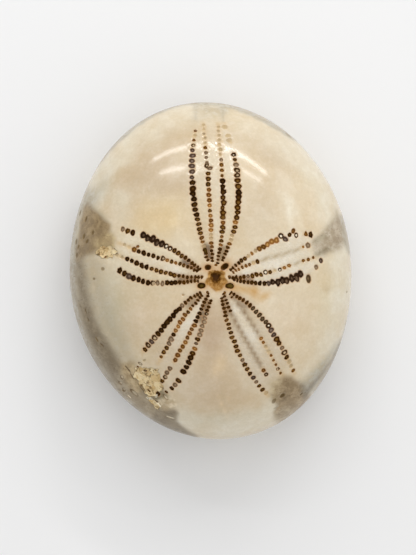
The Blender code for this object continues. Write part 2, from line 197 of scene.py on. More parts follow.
PORE_LEAST = 0.1  # how much of that doesn't grow with the pore's size
PORE_WIDEST = 0.55  # half width across the row at most, as a share of the pitch
CHAIN_SHARE = 0.50  # half length of pores that touch, as a share of the pitch
CHAIN_SWAY = 0.06 * MM  # how far these stand to one side and the other in turn
PORE_DEPTH = 0.10 * MM
DENT_SLOPE = (0.55, 1.4)  # where a mark slopes down to it, in sizes of the mark
PORE_SHIFT = 0.035 * MM  # how far a pore stands out of its row, mostly
PORE_SPREAD = 0.09  # how much pores differ in size
OVAL_FULLNESS = 2.2  # 2 is an ellipse, more is squarer
RIM_WOBBLE = 0.09  # how uneven a pore's outline is
WOBBLE_WAVES = (2, 3, 5)  # waves round it
WOBBLE_EVEN = 1.7  # keeps the waves together near the wobble

# Looks of a pore, or of another mark: (colour of its rim, colour of its filling, the filling's
# share of it, how much it covers). Colours are sRGB, from 0 to 255.
LOOKS = {
    "black": ((42, 22, 2), (68, 44, 14), 0.5, 1.0),
    "chain": ((46, 28, 14), (94, 74, 56), 0.42, 1.0),
    "dark": ((58, 32, 2), (108, 76, 32), 0.55, 1.0),
    "deep": ((62, 36, 4), (72, 46, 12), 0.5, 1.0),
    "dusk": ((58, 42, 22), (98, 80, 54), 0.5, 0.95),
    "brown": ((88, 52, 4), (134, 90, 34), 0.55, 0.95),
    "rust": ((98, 57, 10), (150, 104, 50), 0.42, 0.95),
    "orange": ((128, 82, 26), (186, 140, 78), 0.42, 0.9),
    "tan": ((184, 162, 126), (182, 160, 122), 0.4, 0.7),
    "tan ring": ((120, 98, 74), (170, 148, 118), 0.5, 0.9),
    "faint": ((182, 154, 114), (192, 168, 130), 0.5, 0.75),
    "grey": ((94, 74, 54), (140, 120, 96), 0.5, 0.9),
    "plum": ((66, 50, 42), (118, 100, 88), 0.4, 0.95),
    "ring": ((68, 46, 24), (184, 160, 126), 0.5, 1.0),
    # White-centred pore: the near-white filling is partly pale calcite and partly a painted highlight,
    # the glint in the pit
    "bright ring": ((56, 35, 16), (232, 218, 192), 0.46, 1.0),
    "faint ring": ((104, 84, 58), (192, 178, 152), 0.66, 0.8),
    "olive": ((58, 36, 4), (88, 68, 24), 0.6, 1.0),
    "umber": ((78, 46, 10), (44, 26, 4), 0.72, 1.0),
    "speck": ((106, 86, 54), (92, 74, 44), 0.8, 0.6),
    "blot": ((106, 86, 54), (80, 62, 34), 0.75, 0.8),
    "crack": ((110, 88, 62), (120, 98, 70), 0.5, 0.7),
    "flake": ((240, 230, 206), (246, 238, 218), 0.6, 0.8),
    # Pale thin marks: painted highlights of small glints, and one pale spot
    "scrape": ((200, 188, 164), (212, 200, 176), 0.6, 0.8),
}
# How far a filling lies off to one side, which leaves a dark crescent of the rim on the other: painted
# shade on the pit's wall
OFFSETS = {"ring": 0.5, "tan ring": 0.4, "bright ring": 0.4, "plum": 0.4, "grey": 0.3, "chain": 0.6}
OFFSET = 0.2
FLAT_LOOKS = ("speck", "crack", "faint ring", "flake", "scrape", "tan")
FLAT_SHARE = 0.5  # depth of a single mark of these looks, in pore depths
DEEP_SHARE = 1.5  # the same for the others
OFFSET_HEADING = (-20, 40)  # mean and spread, in degrees, of where the filling lies, so the painted shade falls mostly on the left
TONE_SPREAD = 0.16  # how much marks of one look differ in lightness
SHARE_SPREAD = 0.15  # and in how much of them is filled
# Single marks: (look, place, half length, half width, heading of the length)
SINGLE_MARKS = (
    # genital pores
    ("umber", (-0.90, 1.15), 0.35, 0.31, 0), ("umber", (1.01, 1.23), 0.48, 0.32, 38),
    ("olive", (-1.64, -0.93), 0.45, 0.33, 0), ("olive", (1.58, -0.95), 0.48, 0.32, 0),
    # ocular pores
    ("brown", (0.01, 1.41), 0.16, 0.13, 0), ("brown", (-1.57, 0.09), 0.16, 0.13, 0),
    ("rust", (1.52, 0.11), 0.15, 0.12, 0), ("brown", (-0.96, -1.66), 0.14, 0.13, 0),
    ("brown", (1.01, -1.71), 0.13, 0.15, 0),
    # odd pores of the petals and between them
    ("dusk", (10.65, -0.15), 0.50, 0.30, 100), ("bright ring", (7.45, 4.75), 0.33, 0.30, -40),
    ("plum", (7.95, 4.38), 0.34, 0.27, -20), ("dark", (8.45, 4.88), 0.26, 0.22, 60),
    ("brown", (8.88, 5.34), 0.30, 0.22, 60), ("plum", (12.14, 1.95), 0.27, 0.30, 30),
    ("tan ring", (11.57, 1.19), 0.26, 0.28, 20), ("faint", (-3.72, -1.98), 0.14, 0.12, 0),
    ("rust", (-8.9, 3.55), 0.18, 0.14, 0), ("ring", (-1.05, 12.85), 0.34, 0.22, 70),
    ("grey", (-0.66, 12.50), 0.34, 0.20, 20), ("olive", (-1.21, 3.12), 0.42, 0.20, 105),
    # end of the left petal
    ("speck", (-15.9, 7.6), 0.40, 0.20, 70), ("speck", (-15.1, 6.8), 0.34, 0.20, 75),
    ("speck", (-14.2, 5.2), 0.26, 0.20, 75), ("speck", (-15.3, 4.8), 0.34, 0.20, 65),
    ("speck", (-14.9, 4.2), 0.28, 0.20, 30), ("speck", (-16.3, 4.2), 0.34, 0.20, 80),
    ("speck", (-16.0, 3.6), 0.26, 0.20, 50), ("speck", (-16.2, 2.6), 0.30, 0.20, 90),
    ("speck", (-13.6, 2.7), 0.20, 0.16, 0), ("speck", (-12.6, 2.4), 0.22, 0.17, 0),
    ("speck", (-13.0, 1.0), 0.26, 0.20, 0), ("speck", (-14.05, -0.15), 0.20, 0.15, 0),
    # in the small chip
    ("rust", (-12.7, 2.4), 0.20, 0.13, 10),
    # round the large chip
    ("crack", (-10.2, -10.5), 0.60, 0.10, -50), ("crack", (-9.7, -11.4), 0.45, 0.09, -65),
    ("faint ring", (-10.9, -11.6), 0.30, 0.24, 60), ("faint ring", (-11.1, -12.3), 0.30, 0.20, 10),
    ("faint ring", (-10.7, -13.1), 0.34, 0.24, 50), ("faint ring", (-9.5, -13.4), 0.62, 0.32, -42),
    ("speck", (-13.8, -7.2), 0.36, 0.14, -55), ("crack", (-13.2, -7.8), 0.50, 0.08, -20),
    ("speck", (-15.1, -3.9), 0.30, 0.12, -75), ("speck", (-14.8, -4.9), 0.26, 0.10, -70),
    ("speck", (-11.2, -12.2), 0.18, 0.14, 0), ("speck", (-10.8, -13.3), 0.18, 0.14, 0),
    ("faint ring", (-8.7, -9.9), 0.30, 0.16, -25), ("tan", (-8.2, -9.5), 0.22, 0.12, 25),
    ("brown", (-9.0, -10.3), 0.14, 0.11, 40),
    # in the large chip and beyond it
    ("grey", (-8.2, -10.8), 0.24, 0.12, 0), ("crack", (-7.6, -11.4), 0.26, 0.09, 60),
    ("crack", (-7.9, -12.2), 0.22, 0.09, -10), ("dark", (-7.8, -13.2), 0.22, 0.13, -30),
    ("crack", (-8.5, -12.9), 0.55, 0.12, -65), ("black", (-6.7, -13.5), 0.34, 0.24, 40),
    ("flake", (-6.9, -13.75), 0.20, 0.14, 60), ("dark", (-6.9, -14.4), 0.22, 0.12, -20),
    ("flake", (-7.7, -14.1), 0.45, 0.18, -15), ("flake", (-6.6, -14.85), 0.34, 0.16, -45),
    # the first two pale marks are painted highlights of small glints, the third a pale spot
    ("scrape", (-5.3, -16.3), 0.60, 0.11, -5), ("scrape", (-10.1, -13.95), 0.28, 0.13, -42),
    ("scrape", (7.05, -15.1), 0.36, 0.12, 25), ("dark", (-5.7, -13.2), 0.20, 0.15, -40),
    ("faint ring", (-5.8, -13.8), 0.45, 0.16, -60),
    # end of the back right petal
    ("blot", (7.75, -13.7), 0.34, 0.27, 30), ("speck", (10.0, -13.6), 0.24, 0.16, 30),
    ("speck", (6.75, -14.3), 0.36, 0.24, 80),
    # near the edge on the right and at the front
    ("speck", (15.4, -1.7), 0.16, 0.13, 0), ("speck", (8.6, 16.8), 0.50, 0.20, -35),
)

# Star at the apex: (heading in degrees, reach in mm) of its arms and of the notches between them
STAR_OUTLINE = ((-180, 0.92), (-152, 1.42), (-131, 1.17), (-109, 1.28), (-85, 1.64),
                (-61, 1.48), (-44, 1.26), (-24, 1.50), (4, 0.96), (32, 1.22), (60, 0.90),
                (82, 0.78), (110, 0.86), (142, 1.08), (165, 0.90), (180, 0.92))
STAR_DEPTH = 0.30 * MM
CORE_OUTLINE = ((-180, 0.52), (-135, 0.58), (-90, 0.72), (-45, 0.60), (0, 0.52), (25, 0.60),
                (42, 0.76), (60, 0.66), (90, 0.60), (120, 0.64), (140, 0.74), (160, 0.60),
                (180, 0.52))
CORE_DEPTH = 0.35 * MM
STAR_SLOPE, CORE_SLOPE = (0.35, 1.05), (0.5, 1.1)  # where they slope down, in shares of each
STAR_REACH = 1.7 * MM  # how far out the mesh is fine there
STAR_GRAIN = 0.09 * MM

# Unpolished chips: corners in mm
CHIPS = (
    ((-9.4, -10.4), (-8.8, -10.1), (-8.1, -10.4), (-7.3, -10.4), (-6.5, -10.4), (-6.3, -11.9),
     (-5.9, -12.8), (-6.5, -13.3), (-6.9, -13.8), (-7.6, -13.8), (-8.3, -13.5), (-8.7, -12.7),
     (-9.1, -12.0), (-9.5, -11.4)),
    ((-8.2, -13.8), (-7.6, -13.8), (-6.8, -14.4), (-6.2, -15.0), (-6.8, -15.3), (-7.6, -14.6)),
    ((-13.8, 3.2), (-13.3, 3.5), (-12.4, 3.6), (-11.6, 3.4), (-11.4, 2.8), (-11.8, 2.4),
     (-12.6, 2.1), (-13.5, 2.3), (-13.9, 2.7)))
CHIP_STRAY = (0.4, 0.55, (0.0, 9.0))  # how ragged their edges are: reach and size in mm, shifts
CHIP_MARGIN = 0.4  # how far round a chip the mesh is fine, in mm
CHIP_DEPTH = 0.2 * MM
CHIP_EDGE = 0.25  # distance over which the edge drops, in mm
CHIP_ROUGH = 0.10 * MM
CHIP_LUMPS = ((0.9, 1.1, 3.0), (0.7, 0.5, 5.0), (0.5, 0.25, 7.0))  # (share, size in mm, shift)
CHIP_GRAIN = 0.11 * MM  # spacing of the points in a chip

# Grey-brown stone that the petals run out into at the edge, and in a band along the left of it:
# (colour, corners as (heading in degrees, share of the outline's reach), softness of the edge in
# mm, how much it covers)
PATCHES = (
    ((172, 162, 140), ((-160, 0.88), (-192, 0.93), (-190, 0.80), (-184, 0.73), (-160, 0.70),
     (-140, 0.70), (-129, 0.74), (-129, 0.82), (-145, 0.84)), 1.3, 0.42),
    # pale edge outside the left band
    ((184, 176, 161), ((-184, 1.05), (-184, 0.94), (-150, 0.955), (-128, 0.96), (-98, 0.98),
     (-96, 1.05)), 0.4, 0.8),
    # left band
    ((150, 137, 114), ((-192, 0.955), (-188, 0.90), (-178, 0.865), (-166, 0.855), (-156, 0.85),
     (-147, 0.835), (-138, 0.825), (-132, 0.845), (-128, 0.88), (-127, 0.97), (-140, 0.975),
     (-155, 0.955), (-170, 0.945)), 0.8, 0.85),
    ((134, 116, 84), ((-168, 0.95), (-164, 0.885), (-148, 0.85), (-134, 0.86), (-130, 0.90),
     (-142, 0.93), (-156, 0.945)), 0.7, 0.55),
    ((188, 183, 170), ((155, 1.02), (154, 0.90), (149, 0.88), (145, 0.93), (145, 1.02)), 0.9, 0.6),
    # end of the left petal
    ((156, 134, 98), ((176, 0.94), (174, 0.90), (172, 0.83), (169, 0.79), (165, 0.755), (161, 0.73),
     (157.5, 0.725), (155.5, 0.735), (154, 0.78), (152.8, 0.83), (152, 0.88), (151.5, 0.94),
     (153, 0.965), (160, 0.955), (168, 0.945)), 0.55, 0.9),
    ((190, 168, 124), ((171, 0.79), (168.5, 0.70), (166, 0.67), (162, 0.675), (159, 0.70),
     (160, 0.745), (164, 0.79), (168, 0.81)), 0.6, 0.85),
    ((146, 122, 82), ((161, 0.80), (158.5, 0.755), (155.5, 0.77), (155, 0.83), (157, 0.87),
     (162, 0.86)), 0.6, 0.4),
    ((186, 179, 162), ((180, 1.05), (178, 0.96), (168, 0.955), (160, 0.965), (153, 0.98), (152, 1.05)),
     0.4, 0.75),
    # grey edge at the front
    ((172, 165, 150), ((144, 1.05), (136, 0.985), (122, 0.965), (112, 0.975), (98, 0.98), (84, 0.97),
     (76, 0.955), (66, 0.955), (57, 0.98), (50, 1.05)), 0.25, 0.6),
    # round the large chip
    ((168, 153, 127), ((-131, 0.99), (-131, 0.88), (-128, 0.84), (-122, 0.78), (-112, 0.78),
     (-107, 0.86), (-107, 0.98)), 0.5, 0.85),
    ((196, 174, 134), ((-134, 0.84), (-132, 0.78), (-129, 0.76), (-125, 0.80), (-120, 0.86),
     (-121.5, 0.91), (-127, 0.90), (-132, 0.87)), 0.5, 0.8),
    ((150, 142, 112), ((-119, 0.86), (-114, 0.80), (-110, 0.78), (-108, 0.80), (-109, 0.85),
     (-112, 0.88)), 0.4, 0.6),
    ((140, 126, 102), ((-112, 1.0), (-111, 0.91), (-109, 0.885), (-106, 0.862), (-104, 0.856),
     (-102.8, 0.87), (-103, 0.92), (-99, 0.95), (-94, 0.98), (-95, 1.0)), 0.4, 0.8),
    # pale below the large chip
    ((226, 210, 180), ((-112.5, 0.86), (-110.5, 0.82), (-108, 0.80), (-105.5, 0.80), (-104.6, 0.828),
     (-105.8, 0.858), (-108.3, 0.885), (-111, 0.89)), 0.3, 0.95),
    # end of the back right petal
    ((168, 147, 114), ((-64.5, 1.05), (-66, 0.95), (-66, 0.905), (-64, 0.885), (-64.5, 0.84),
     (-63, 0.81), (-60.5, 0.785), (-58, 0.765), (-55, 0.765), (-53, 0.80), (-51.8, 0.85), (-51, 0.90),
     (-51, 0.96), (-52, 1.05)), 0.5, 0.92),
    ((190, 176, 150), ((-66.5, 1.05), (-67, 0.95), (-64, 0.90), (-61, 0.92), (-58, 0.97), (-58, 1.05)),
     0.5, 0.5),
    ((198, 180, 144), ((-65, 0.85), (-65, 0.80), (-61, 0.75), (-57, 0.75), (-58, 0.79), (-61.5, 0.82),
     (-62.5, 0.86)), 0.6, 0.75),
    ((138, 116, 80), ((-59, 0.83), (-57, 0.785), (-54.5, 0.80), (-53.5, 0.87), (-57, 0.88)), 0.6, 0.4),
    ((204, 184, 152), ((-65, 0.92), (-64.6, 0.89), (-62.8, 0.895), (-63, 0.915)), 0.3, 0.8),
    ((116, 96, 66), ((-62, 0.87), (-60, 0.84), (-58.5, 0.85), (-58.5, 0.88), (-61, 0.89)), 0.4, 0.6),
    ((112, 98, 72), ((-53.5, 0.93), (-52.5, 0.885), (-50.8, 0.90), (-50.5, 0.935), (-52, 0.95)),
     0.35, 0.7),
    ((172, 168, 154), ((-28, 0.97), (-36, 0.92), (-44, 0.89), (-51, 0.87), (-52, 0.97)), 0.7, 0.6),
    # grey edge beside it
    ((160, 152, 136), ((-17, 1.05), (-20, 0.99), (-30, 0.982), (-38, 0.98), (-46, 0.975), (-50, 0.975),
     (-50, 1.05)), 0.25, 0.6),
    ((140, 132, 116), ((-54, 0.965), (-54, 0.925), (-46, 0.94), (-38, 0.965), (-30, 0.98), (-30, 0.99),
     (-38, 0.985), (-46, 0.97)), 0.35, 0.65),
    # end of the right petal
    ((190, 177, 156), ((26, 0.96), (24, 0.92), (21.5, 0.86), (19.5, 0.80), (18, 0.76), (16, 0.715),
     (12, 0.72), (8, 0.735), (7.5, 0.80), (8.5, 0.85), (9.5, 0.93), (12, 0.96), (17, 0.97),
     (22, 0.975)), 0.7, 0.85),
    ((176, 160, 136), ((22.5, 0.955), (21, 0.90), (18, 0.90), (14, 0.87), (11.5, 0.90), (13, 0.945),
     (18, 0.955)), 0.4, 0.65),
    ((150, 140, 110), ((18.5, 0.81), (17.5, 0.77), (16, 0.735), (14.8, 0.74), (15.8, 0.80),
     (16.5, 0.84)), 0.3, 0.65),
    ((142, 131, 102), ((11.5, 0.84), (11, 0.78), (9.5, 0.73), (8.3, 0.73), (8.8, 0.78), (9.8, 0.84)),
     0.3, 0.7),
    ((176, 169, 152), ((25, 1.03), (23, 0.97), (18, 0.955), (11, 0.95), (7, 0.97), (5, 1.03)),
     0.3, 0.6),
    # end of the front petal
    ((196, 188, 168), ((97, 1.05), (96, 0.95), (92, 0.90), (86, 0.90), (83, 0.95), (82, 1.05)),
     0.8, 0.5),
    ((168, 160, 146), ((96, 0.97), (95, 0.97), (95.2, 0.87), (96.4, 0.87)), 0.3, 0.4),
    ((168, 160, 146), ((86.5, 0.97), (85.5, 0.97), (84.6, 0.87), (85.8, 0.87)), 0.3, 0.4),
)
EDGE_RADIUS = 18.2  # mean radius of the outline in mm
EDGE_DEGREE = 0.28  # mean length in mm of a degree along the patches
PATCH_STRAY = (0.15, 0.9, (2.0, 6.0))  # how their edges stray: reach and size in mm, shifts
FLANK_STRAY = 4.0  # how far in mm the patches stray low on the flank
FLANK_RAMP = 2.0  # how far down, in mm, that grows to the full
FLANK_LUMPS = 3.0  # size in mm of the bays in their edges there

# Mouth, lips, vent and tube-foot pores of the underside, in mm from the outline's middle
MOUTH_CENTRE = (0.0, 0.8)
MOUTH_RADII = (1.75, 1.45)  # at a corner and between two corners
MOUTH_DEPTH = 1.3 * MM
LIP_DISTANCE = 2.55
LIP_RADIUS = 0.85
LIP_HEIGHT = 0.2 * MM
VENT_CENTRE = (0.0, -14.6)
VENT_HALF_SIZE = (1.35, 1.0)
VENT_DEPTH = 0.8 * MM
FOOT_PORES = (2.5, 5.6, 0.52)  # first, last and pitch, in mm from the mouth's centre
FOOT_OFFSETS = (0.42, 0.28, 0.12)  # to the side at the ends, more midway, of every second one
FOOT_RADIUS = 0.13  # in mm

FIFTH = 360 / 5  # turn from one ray of the animal to the next, in degrees
FORWARD = 90  # heading of its front

# Colours of the ground: (colour, place, half sizes, heading, strength)
CREAM = (223, 209, 183)
CLOUDS = (
    ((228, 205, 160), (-6.3, 7.2), (3.6, 2.4), 30, 0.7),  # between the left and front petals
    ((240, 222, 182), (-5.0, 6.4), (1.5, 0.9), 40, 0.5),
    ((202, 182, 154), (-7.6, 12.6), (6.0, 2.4), 38, 0.8),
    ((202, 182, 155), (-4.6, 10.6), (3.6, 2.0), 10, 0.7),
    ((214, 192, 158), (-11.0, 8.6), (2.5, 2.0), 60, 0.3),
    ((230, 226, 212), (-11.2, 8.6), (1.5, 2.2), 20, 0.7),
    ((206, 188, 160), (-4.0, 16.4), (4.0, 1.8), 12, 0.6),
    ((208, 190, 162), (2.6, 15.6), (3.6, 2.2), -10, 0.6),  # between the front and right petals
    ((206, 190, 166), (7.4, 14.0), (3.2, 1.8), -38, 0.7),
    ((214, 199, 176), (5.0, 8.6), (2.6, 4.0), 0, 0.6),
    ((236, 228, 210), (8.8, 7.6), (2.6, 0.9), 105, 0.6),
    ((222, 210, 186), (11.0, 11.0), (3.5, 1.6), -48, 0.5),
    ((220, 202, 172), (10.6, 8.2), (1.6, 2.4), 0, 0.5),
    ((228, 213, 190), (7.4, -4.6), (4.0, 2.6), -30, 0.6),  # between the right and back right
    ((218, 208, 178), (13.0, -1.8), (1.6, 3.4), 0, 0.5),
    ((226, 214, 190), (9.5, -9.0), (2.4, 1.8), -40, 0.5),
    ((194, 170, 143), (-0.4, -6.6), (1.9, 3.8), 0, 0.85),  # between the back petals
    ((206, 186, 160), (-0.6, -12.5), (5.0, 3.6), 0, 0.6),
    ((234, 212, 176), (0.4, -10.0), (0.7, 1.1), 10, 0.7),
    ((206, 196, 170), (-0.8, -16.4), (4.6, 0.9), 4, 0.6),
    ((198, 192, 168), (-11.8, -3.6), (2.0, 4.4), 14, 0.8),  # between the back left and left
    ((224, 204, 176), (-8.4, -4.0), (1.6, 1.1), 0, 0.6),
    ((206, 186, 158), (-9.4, -5.6), (2.2, 1.6), -40, 0.4),
    ((222, 202, 170), (-4.5, -2.6), (2.0, 1.6), 20, 0.4),
    ((238, 226, 202), (-3.2, 4.6), (1.0, 2.2), 10, 0.5),
    ((240, 234, 222), (7.6, 11.2), (1.8, 1.2), -40, 0.4),
    ((236, 224, 200), (2.2, -3.6), (1.0, 1.4), 20, 0.35),
    ((222, 214, 196), (-13.0, -2.3), (1.6, 1.8), 0, 0.5),
    ((238, 224, 198), (4.7, -2.6), (1.5, 1.0), 0, 0.4),
    ((230, 224, 206), (12.8, -7.5), (1.5, 3.5), -10, 0.4),
)
CLOUD_STRAY = (0.8, 2.5, (0.0, 4.0))  # how their edges stray: reach and size in mm, shifts
# Milky calcite along the edge: strength at headings in degrees
MILK = (228, 222, 205)
MILK_REACHES = (0.80, 0.90, 0.955, 1.0)  # it grows between the first two, fades between the last
MILK_FADE = 0.6
MILK_STRENGTHS = ((-180, 0.4), (-150, 0.6), (-125, 0.2), (-100, 0.6), (-80, 0.7), (-55, 0.6),
                  (-40, 0.5), (-15, 0.7), (20, 0.8), (45, 0.5), (70, 0.3), (100, 0.3), (125, 0.5),
                  (145, 0.9), (180, 0.4))
# Paler stone between the rows: colour, strength and strength of the middle lane
LANES = {"front": ((224, 211, 188), 0.5, 0.25), "left": ((230, 219, 194), 0.55, 0.6),
         "right": ((226, 218, 202), 0.75, 0.85), "back left": ((212, 195, 170), 0.5, 0.8),
         "back right": ((208, 194, 172), 0.6, 0.9)}
MIDDLE_LANE = (232, 224, 208)  # between the two inner rows
# Where these lanes end sideways, 1 being on a row, and start and fade in mm from the apex
LANE_EDGE, LANE_START = (0.9, 1.35), (1.5, 4)
MIDDLE_EDGE, MIDDLE_START, MIDDLE_FADE = (0.5, 1.0), (2.2, 4), 6
PETAL_LEAST, MIDDLE_LEAST = 0.5, 0.2  # least half widths of a petal and its middle, in mm
# Smears in place of pores: colour and strength
SMEARS = {"right": ((178, 158, 124), 0.8), "back right": ((140, 112, 74), 0.85)}
ROW_STAINS = {"deep": ((144, 104, 58), 0.8)}  # colour and strength under pores of a look
ROW_STAIN = ((208, 176, 124), 0.6)  # the same for the looks below
STAINING = ("dark", "brown", "rust", "orange", "tan", "faint", "deep")
# How far a smear or stain starts before its stretch and is full in it, and fades at its end
SMEAR_ENDS, STAIN_ENDS = (0.2, 0.4, 0.3), (0.2, 0.2, 0.2)
ROW_STAIN_WIDTH = 0.26  # in mm, half of it
SMEAR_WIDTH = 0.21  # in mm, half of it
# Small soft spots, given like the clouds
SPOTS = (
    ((233, 220, 196), (0.1, -0.2), (2.5, 2.3), 0, 0.75),  # round the star
    ((212, 172, 118), (0.1, -0.1), (1.55, 1.5), 0, 0.6),  # halo of the star
    ((196, 148, 88), (-0.80, 1.12), (0.85, 0.55), 0, 0.85),  # round the genital pores
    ((196, 148, 88), (1.12, 1.30), (0.95, 0.60), 35, 0.85),
    ((198, 154, 96), (-1.55, -0.95), (0.85, 0.60), 0, 0.8),
    ((196, 148, 86), (1.60, -0.98), (0.90, 0.60), 0, 0.85),
    ((208, 164, 92), (2.9, -1.30), (1.5, 0.50), -8, 0.8),  # orange stain
    ((204, 156, 78), (4.35, -1.60), (0.60, 0.85), 10, 0.85),
    ((210, 170, 106), (5.50, -2.15), (0.80, 0.42), 30, 0.8),
    ((243, 238, 224), (8.42, 7.5), (0.95, 0.24), 96, 0.75),  # pale streaks, partly pale calcite and partly a painted highlight of a glint
    ((240, 234, 218), (8.6, 6.2), (0.8, 0.35), 100, 0.5),
    ((240, 233, 216), (9.75, 6.5), (1.3, 0.26), 112, 0.45),
    ((234, 216, 186), (0.8, -14.9), (1.2, 0.13), -68, 0.85),
    ((226, 208, 178), (1.5, -14.0), (0.7, 0.10), -80, 0.6),
    ((214, 194, 160), (1.0, -9.4), (0.7, 0.25), 60, 0.5),
    ((196, 180, 155), (7.0, 0.25), (0.9, 0.5), 0, 0.7),  # between the lower right rows
    ((190, 172, 146), (3.5, -3.1), (1.1, 0.8), -40, 0.4),  # at the root of the back right petal
    ((192, 174, 138), (6.5, -12.3), (0.8, 1.0), 30, 0.6),  # beside its end
    ((236, 228, 206), (-8.0, -8.9), (0.7, 0.35), 10, 0.7),  # above the large chip
    ((196, 170, 122), (-11.9, 3.0), (0.7, 0.6), 0, 0.5),  # round the small chip
    ((236, 226, 204), (-12.0, 1.9), (0.7, 0.35), -20, 0.6),
    ((194, 186, 166), (-13.6, 9.9), (2.2, 0.9), 53, 0.7),  # greyer near the edge
    ((182, 176, 156), (-13.3, 7.2), (1.3, 0.5), -45, 0.6),
    ((204, 194, 172), (-1.8, 18.5), (1.5, 0.8), 0, 0.6),
    ((198, 178, 144), (12.7, -1.4), (0.45, 0.35), 0, 0.6),  # faint stain on the right
)
# Stain between the two rows of a pair, near the apex: (petal, rows, end, colour, strength)
ROOT_SMEARS = (
    ("front", (0, 1), 4.2, (94, 66, 24), 0.8),
    ("front", (2, 3), 4.0, (135, 111, 72), 0.75),
    ("left", (0, 1), 4.6, (84, 54, 16), 0.8),
    ("left", (2, 3), 4.6, (106, 78, 30), 0.75),
    ("right", (0, 1), 3.8, (190, 150, 108), 0.5),
    ("right", (2, 3), 4.4, (116, 88, 54), 0.75),
    ("back left", (0, 1), 5.0, (152, 129, 97), 0.65),
    ("back left", (2, 3), 5.6, (113, 87, 46), 0.75),
    ("back right", (0, 1), 4.8, (137, 112, 76), 0.7),
    ("back right", (2, 3), 5.2, (154, 132, 104), 0.7),
)
SMEAR_FADE = 0.7  # in mm
PAIR_EDGE, PAIR_LEAST = (0.7, 1.2), 0.18  # its edge, 1 being on a row, and least half width


# Small helpers

def linear(colour):
    """Linear parts of an sRGB colour."""
    parts = np.array(colour) / 255
    return np.where(parts <= 0.04045, parts / 12.92, ((parts + 0.055) / 1.055) ** 2.4)


def heading(degrees):
    """Unit vector in plan."""
    angle = math.radians(degrees)
    return np.array([math.cos(angle), math.sin(angle)])


def circle(angles):
    """Unit vectors in plan at angles."""
    return np.stack((np.cos(angles), np.sin(angles)), axis=1)


def ring_angles(ring, count):
    """Even angles round a ring, every second ring turned by half a step."""
    return (np.arange(count) + ring % 2 / 2) * 2 * math.pi / count


def ease(value, low, high):
    """0 below low, 1 above high, smooth between."""
    share = np.clip((value - low) / (high - low), 0, 1)
    return share * share * (3 - 2 * share)


def between(value, start, full, fading, end):
    """0 before start and past end, 1 from full to fading, smooth between."""
    return ease(value, start, full) * (1 - ease(value, fading, end))


def lumps(places, size, shift=0.0):
    """Smooth noise from -1 to 1 at places in mm, its lumps about the given size in mm."""
    levels = np.broadcast_to(shift, len(places))
    return np.array([noise.noise(Vector((x / size, y / size, level)))
                     for (x, y), level in zip(places, levels)])


def stray(places, reach, size, shifts):
    """Uneven steps up to a reach, in mm, that blur what is drawn at places."""
    return reach * np.stack([lumps(places, size, shift) for shift in shifts], axis=1)


# Shape of the test. A face is drawn on a unit disc: a spot is a point of the disc, and its
# distance from the middle says how far down the dome, or out along the base, the point lies.

def outline_share(angles):
    """Radius of the outline for a mean radius of 1."""
    return 1 + sum(size * np.cos(count * (angles - math.radians(turn)))
                   for count, size, turn in OUTLINE_WAVES)


def outline_box():
    """Middle and size of the outline's box for a mean radius of 1."""
    angles = ring_angles(0, OUTLINE_STEPS)
    rim = circle(angles) * outline_share(angles)[:, None]
    low, high = rim.min(axis=0), rim.max(axis=0)
    return (low + high) / 2, high - low


BOX_MIDDLE, BOX_SIZE = outline_box()
MEAN_RADIUS = LENGTH / BOX_SIZE[1]


def on_face(spots, reach, height):
    """Points at shares of the outline's reach."""
    angles = np.arctan2(spots[:, 1], spots[:, 0])
    radius = reach * MEAN_RADIUS * outline_share(angles)
    return np.stack((radius * np.cos(angles), radius * np.sin(angles), height), axis=1)


def dome_points(spots):
    """Points on the smooth dome."""
    tilt = np.hypot(*spots.T) * math.pi / 2
    reach = np.abs(np.sin(tilt)) ** (2 / DOME_FULLNESS)
    return on_face(spots, reach, EDGE_HEIGHT + (HEIGHT - EDGE_HEIGHT) * np.cos(tilt))


def base_points(spots):
    """Points on the smooth underside."""
    share = np.hypot(*spots.T)
    flat_reach = LAND_REACH * share / LAND_DISC
    hollow = HOLLOW_DEPTH * np.maximum(0, 1 - (flat_reach / HOLLOW_REACH) ** 2) ** 2
    turn = (1 - share) / (1 - LAND_DISC) * math.pi / 2
    flank_reach = LAND_REACH + (1 - LAND_REACH) * np.abs(np.cos(turn)) ** (2 / FLANK_FULLNESS)
    flat = share <= LAND_DISC
    return on_face(spots, np.where(flat, flat_reach, flank_reach),
                   np.where(flat, hollow, EDGE_HEIGHT * (1 - np.sin(turn))))


def outline_reach(places):
    """Headings of places in plan, and their shares of the outline's reach there."""
    angles = np.arctan2(places[:, 1], places[:, 0])
    return angles, np.minimum(1, np.hypot(*places.T) / (MEAN_RADIUS * outline_share(angles)))


def dome_spots(places):
    """Spots of the disc for places in plan on the dome."""
    angles, reach = outline_reach(places)
    share = np.arcsin(reach ** (DOME_FULLNESS / 2)) / (math.pi / 2)
    return circle(angles) * share[:, None]


def base_spots(places):
    """Spots of the disc for places in plan on the underside."""
    angles, reach = outline_reach(places)
    flank = np.clip((reach - LAND_REACH) / (1 - LAND_REACH), 0, 1)
    turn = np.arccos(flank ** (FLANK_FULLNESS / 2))
    share = np.where(reach <= LAND_REACH, LAND_DISC * reach / LAND_REACH,
                     1 - (1 - LAND_DISC) * turn / (math.pi / 2))
    return circle(angles) * share[:, None]


DOME = (dome_points, dome_spots)
BASE = (base_points, base_spots)


def normals_at(points_of, spots):
    """Upward normals of a face."""
    along, across = (points_of(spots + step) - points_of(spots - step)
                     for step in np.eye(2) * SLOPE_STEP)
    normals = np.cross(along, across)
    return normals / np.linalg.norm(normals, axis=1)[:, None]


def points_over(face, places):
    """Points of a face for places in plan."""
    return face[0](face[1](places))


# Marks: pores, specks and other small shapes, each a dent of its own outline and colours

Mark = namedtuple("Mark", "centre along across radii look depth")


def mark_at(face, place, turn, radii, look, depth):
    """Mark round a place in plan, its outline given from a heading in degrees."""
    place = np.array(place)
    spot = face[1](place[None])
    centre = face[0](spot)[0]
    normal = normals_at(face[0], spot)[0]
    along = np.append(heading(turn), 0)
    along -= normal * (along @ normal)
    along /= np.linalg.norm(along)
    return Mark(centre, along, np.cross(normal, along), radii, look, depth)


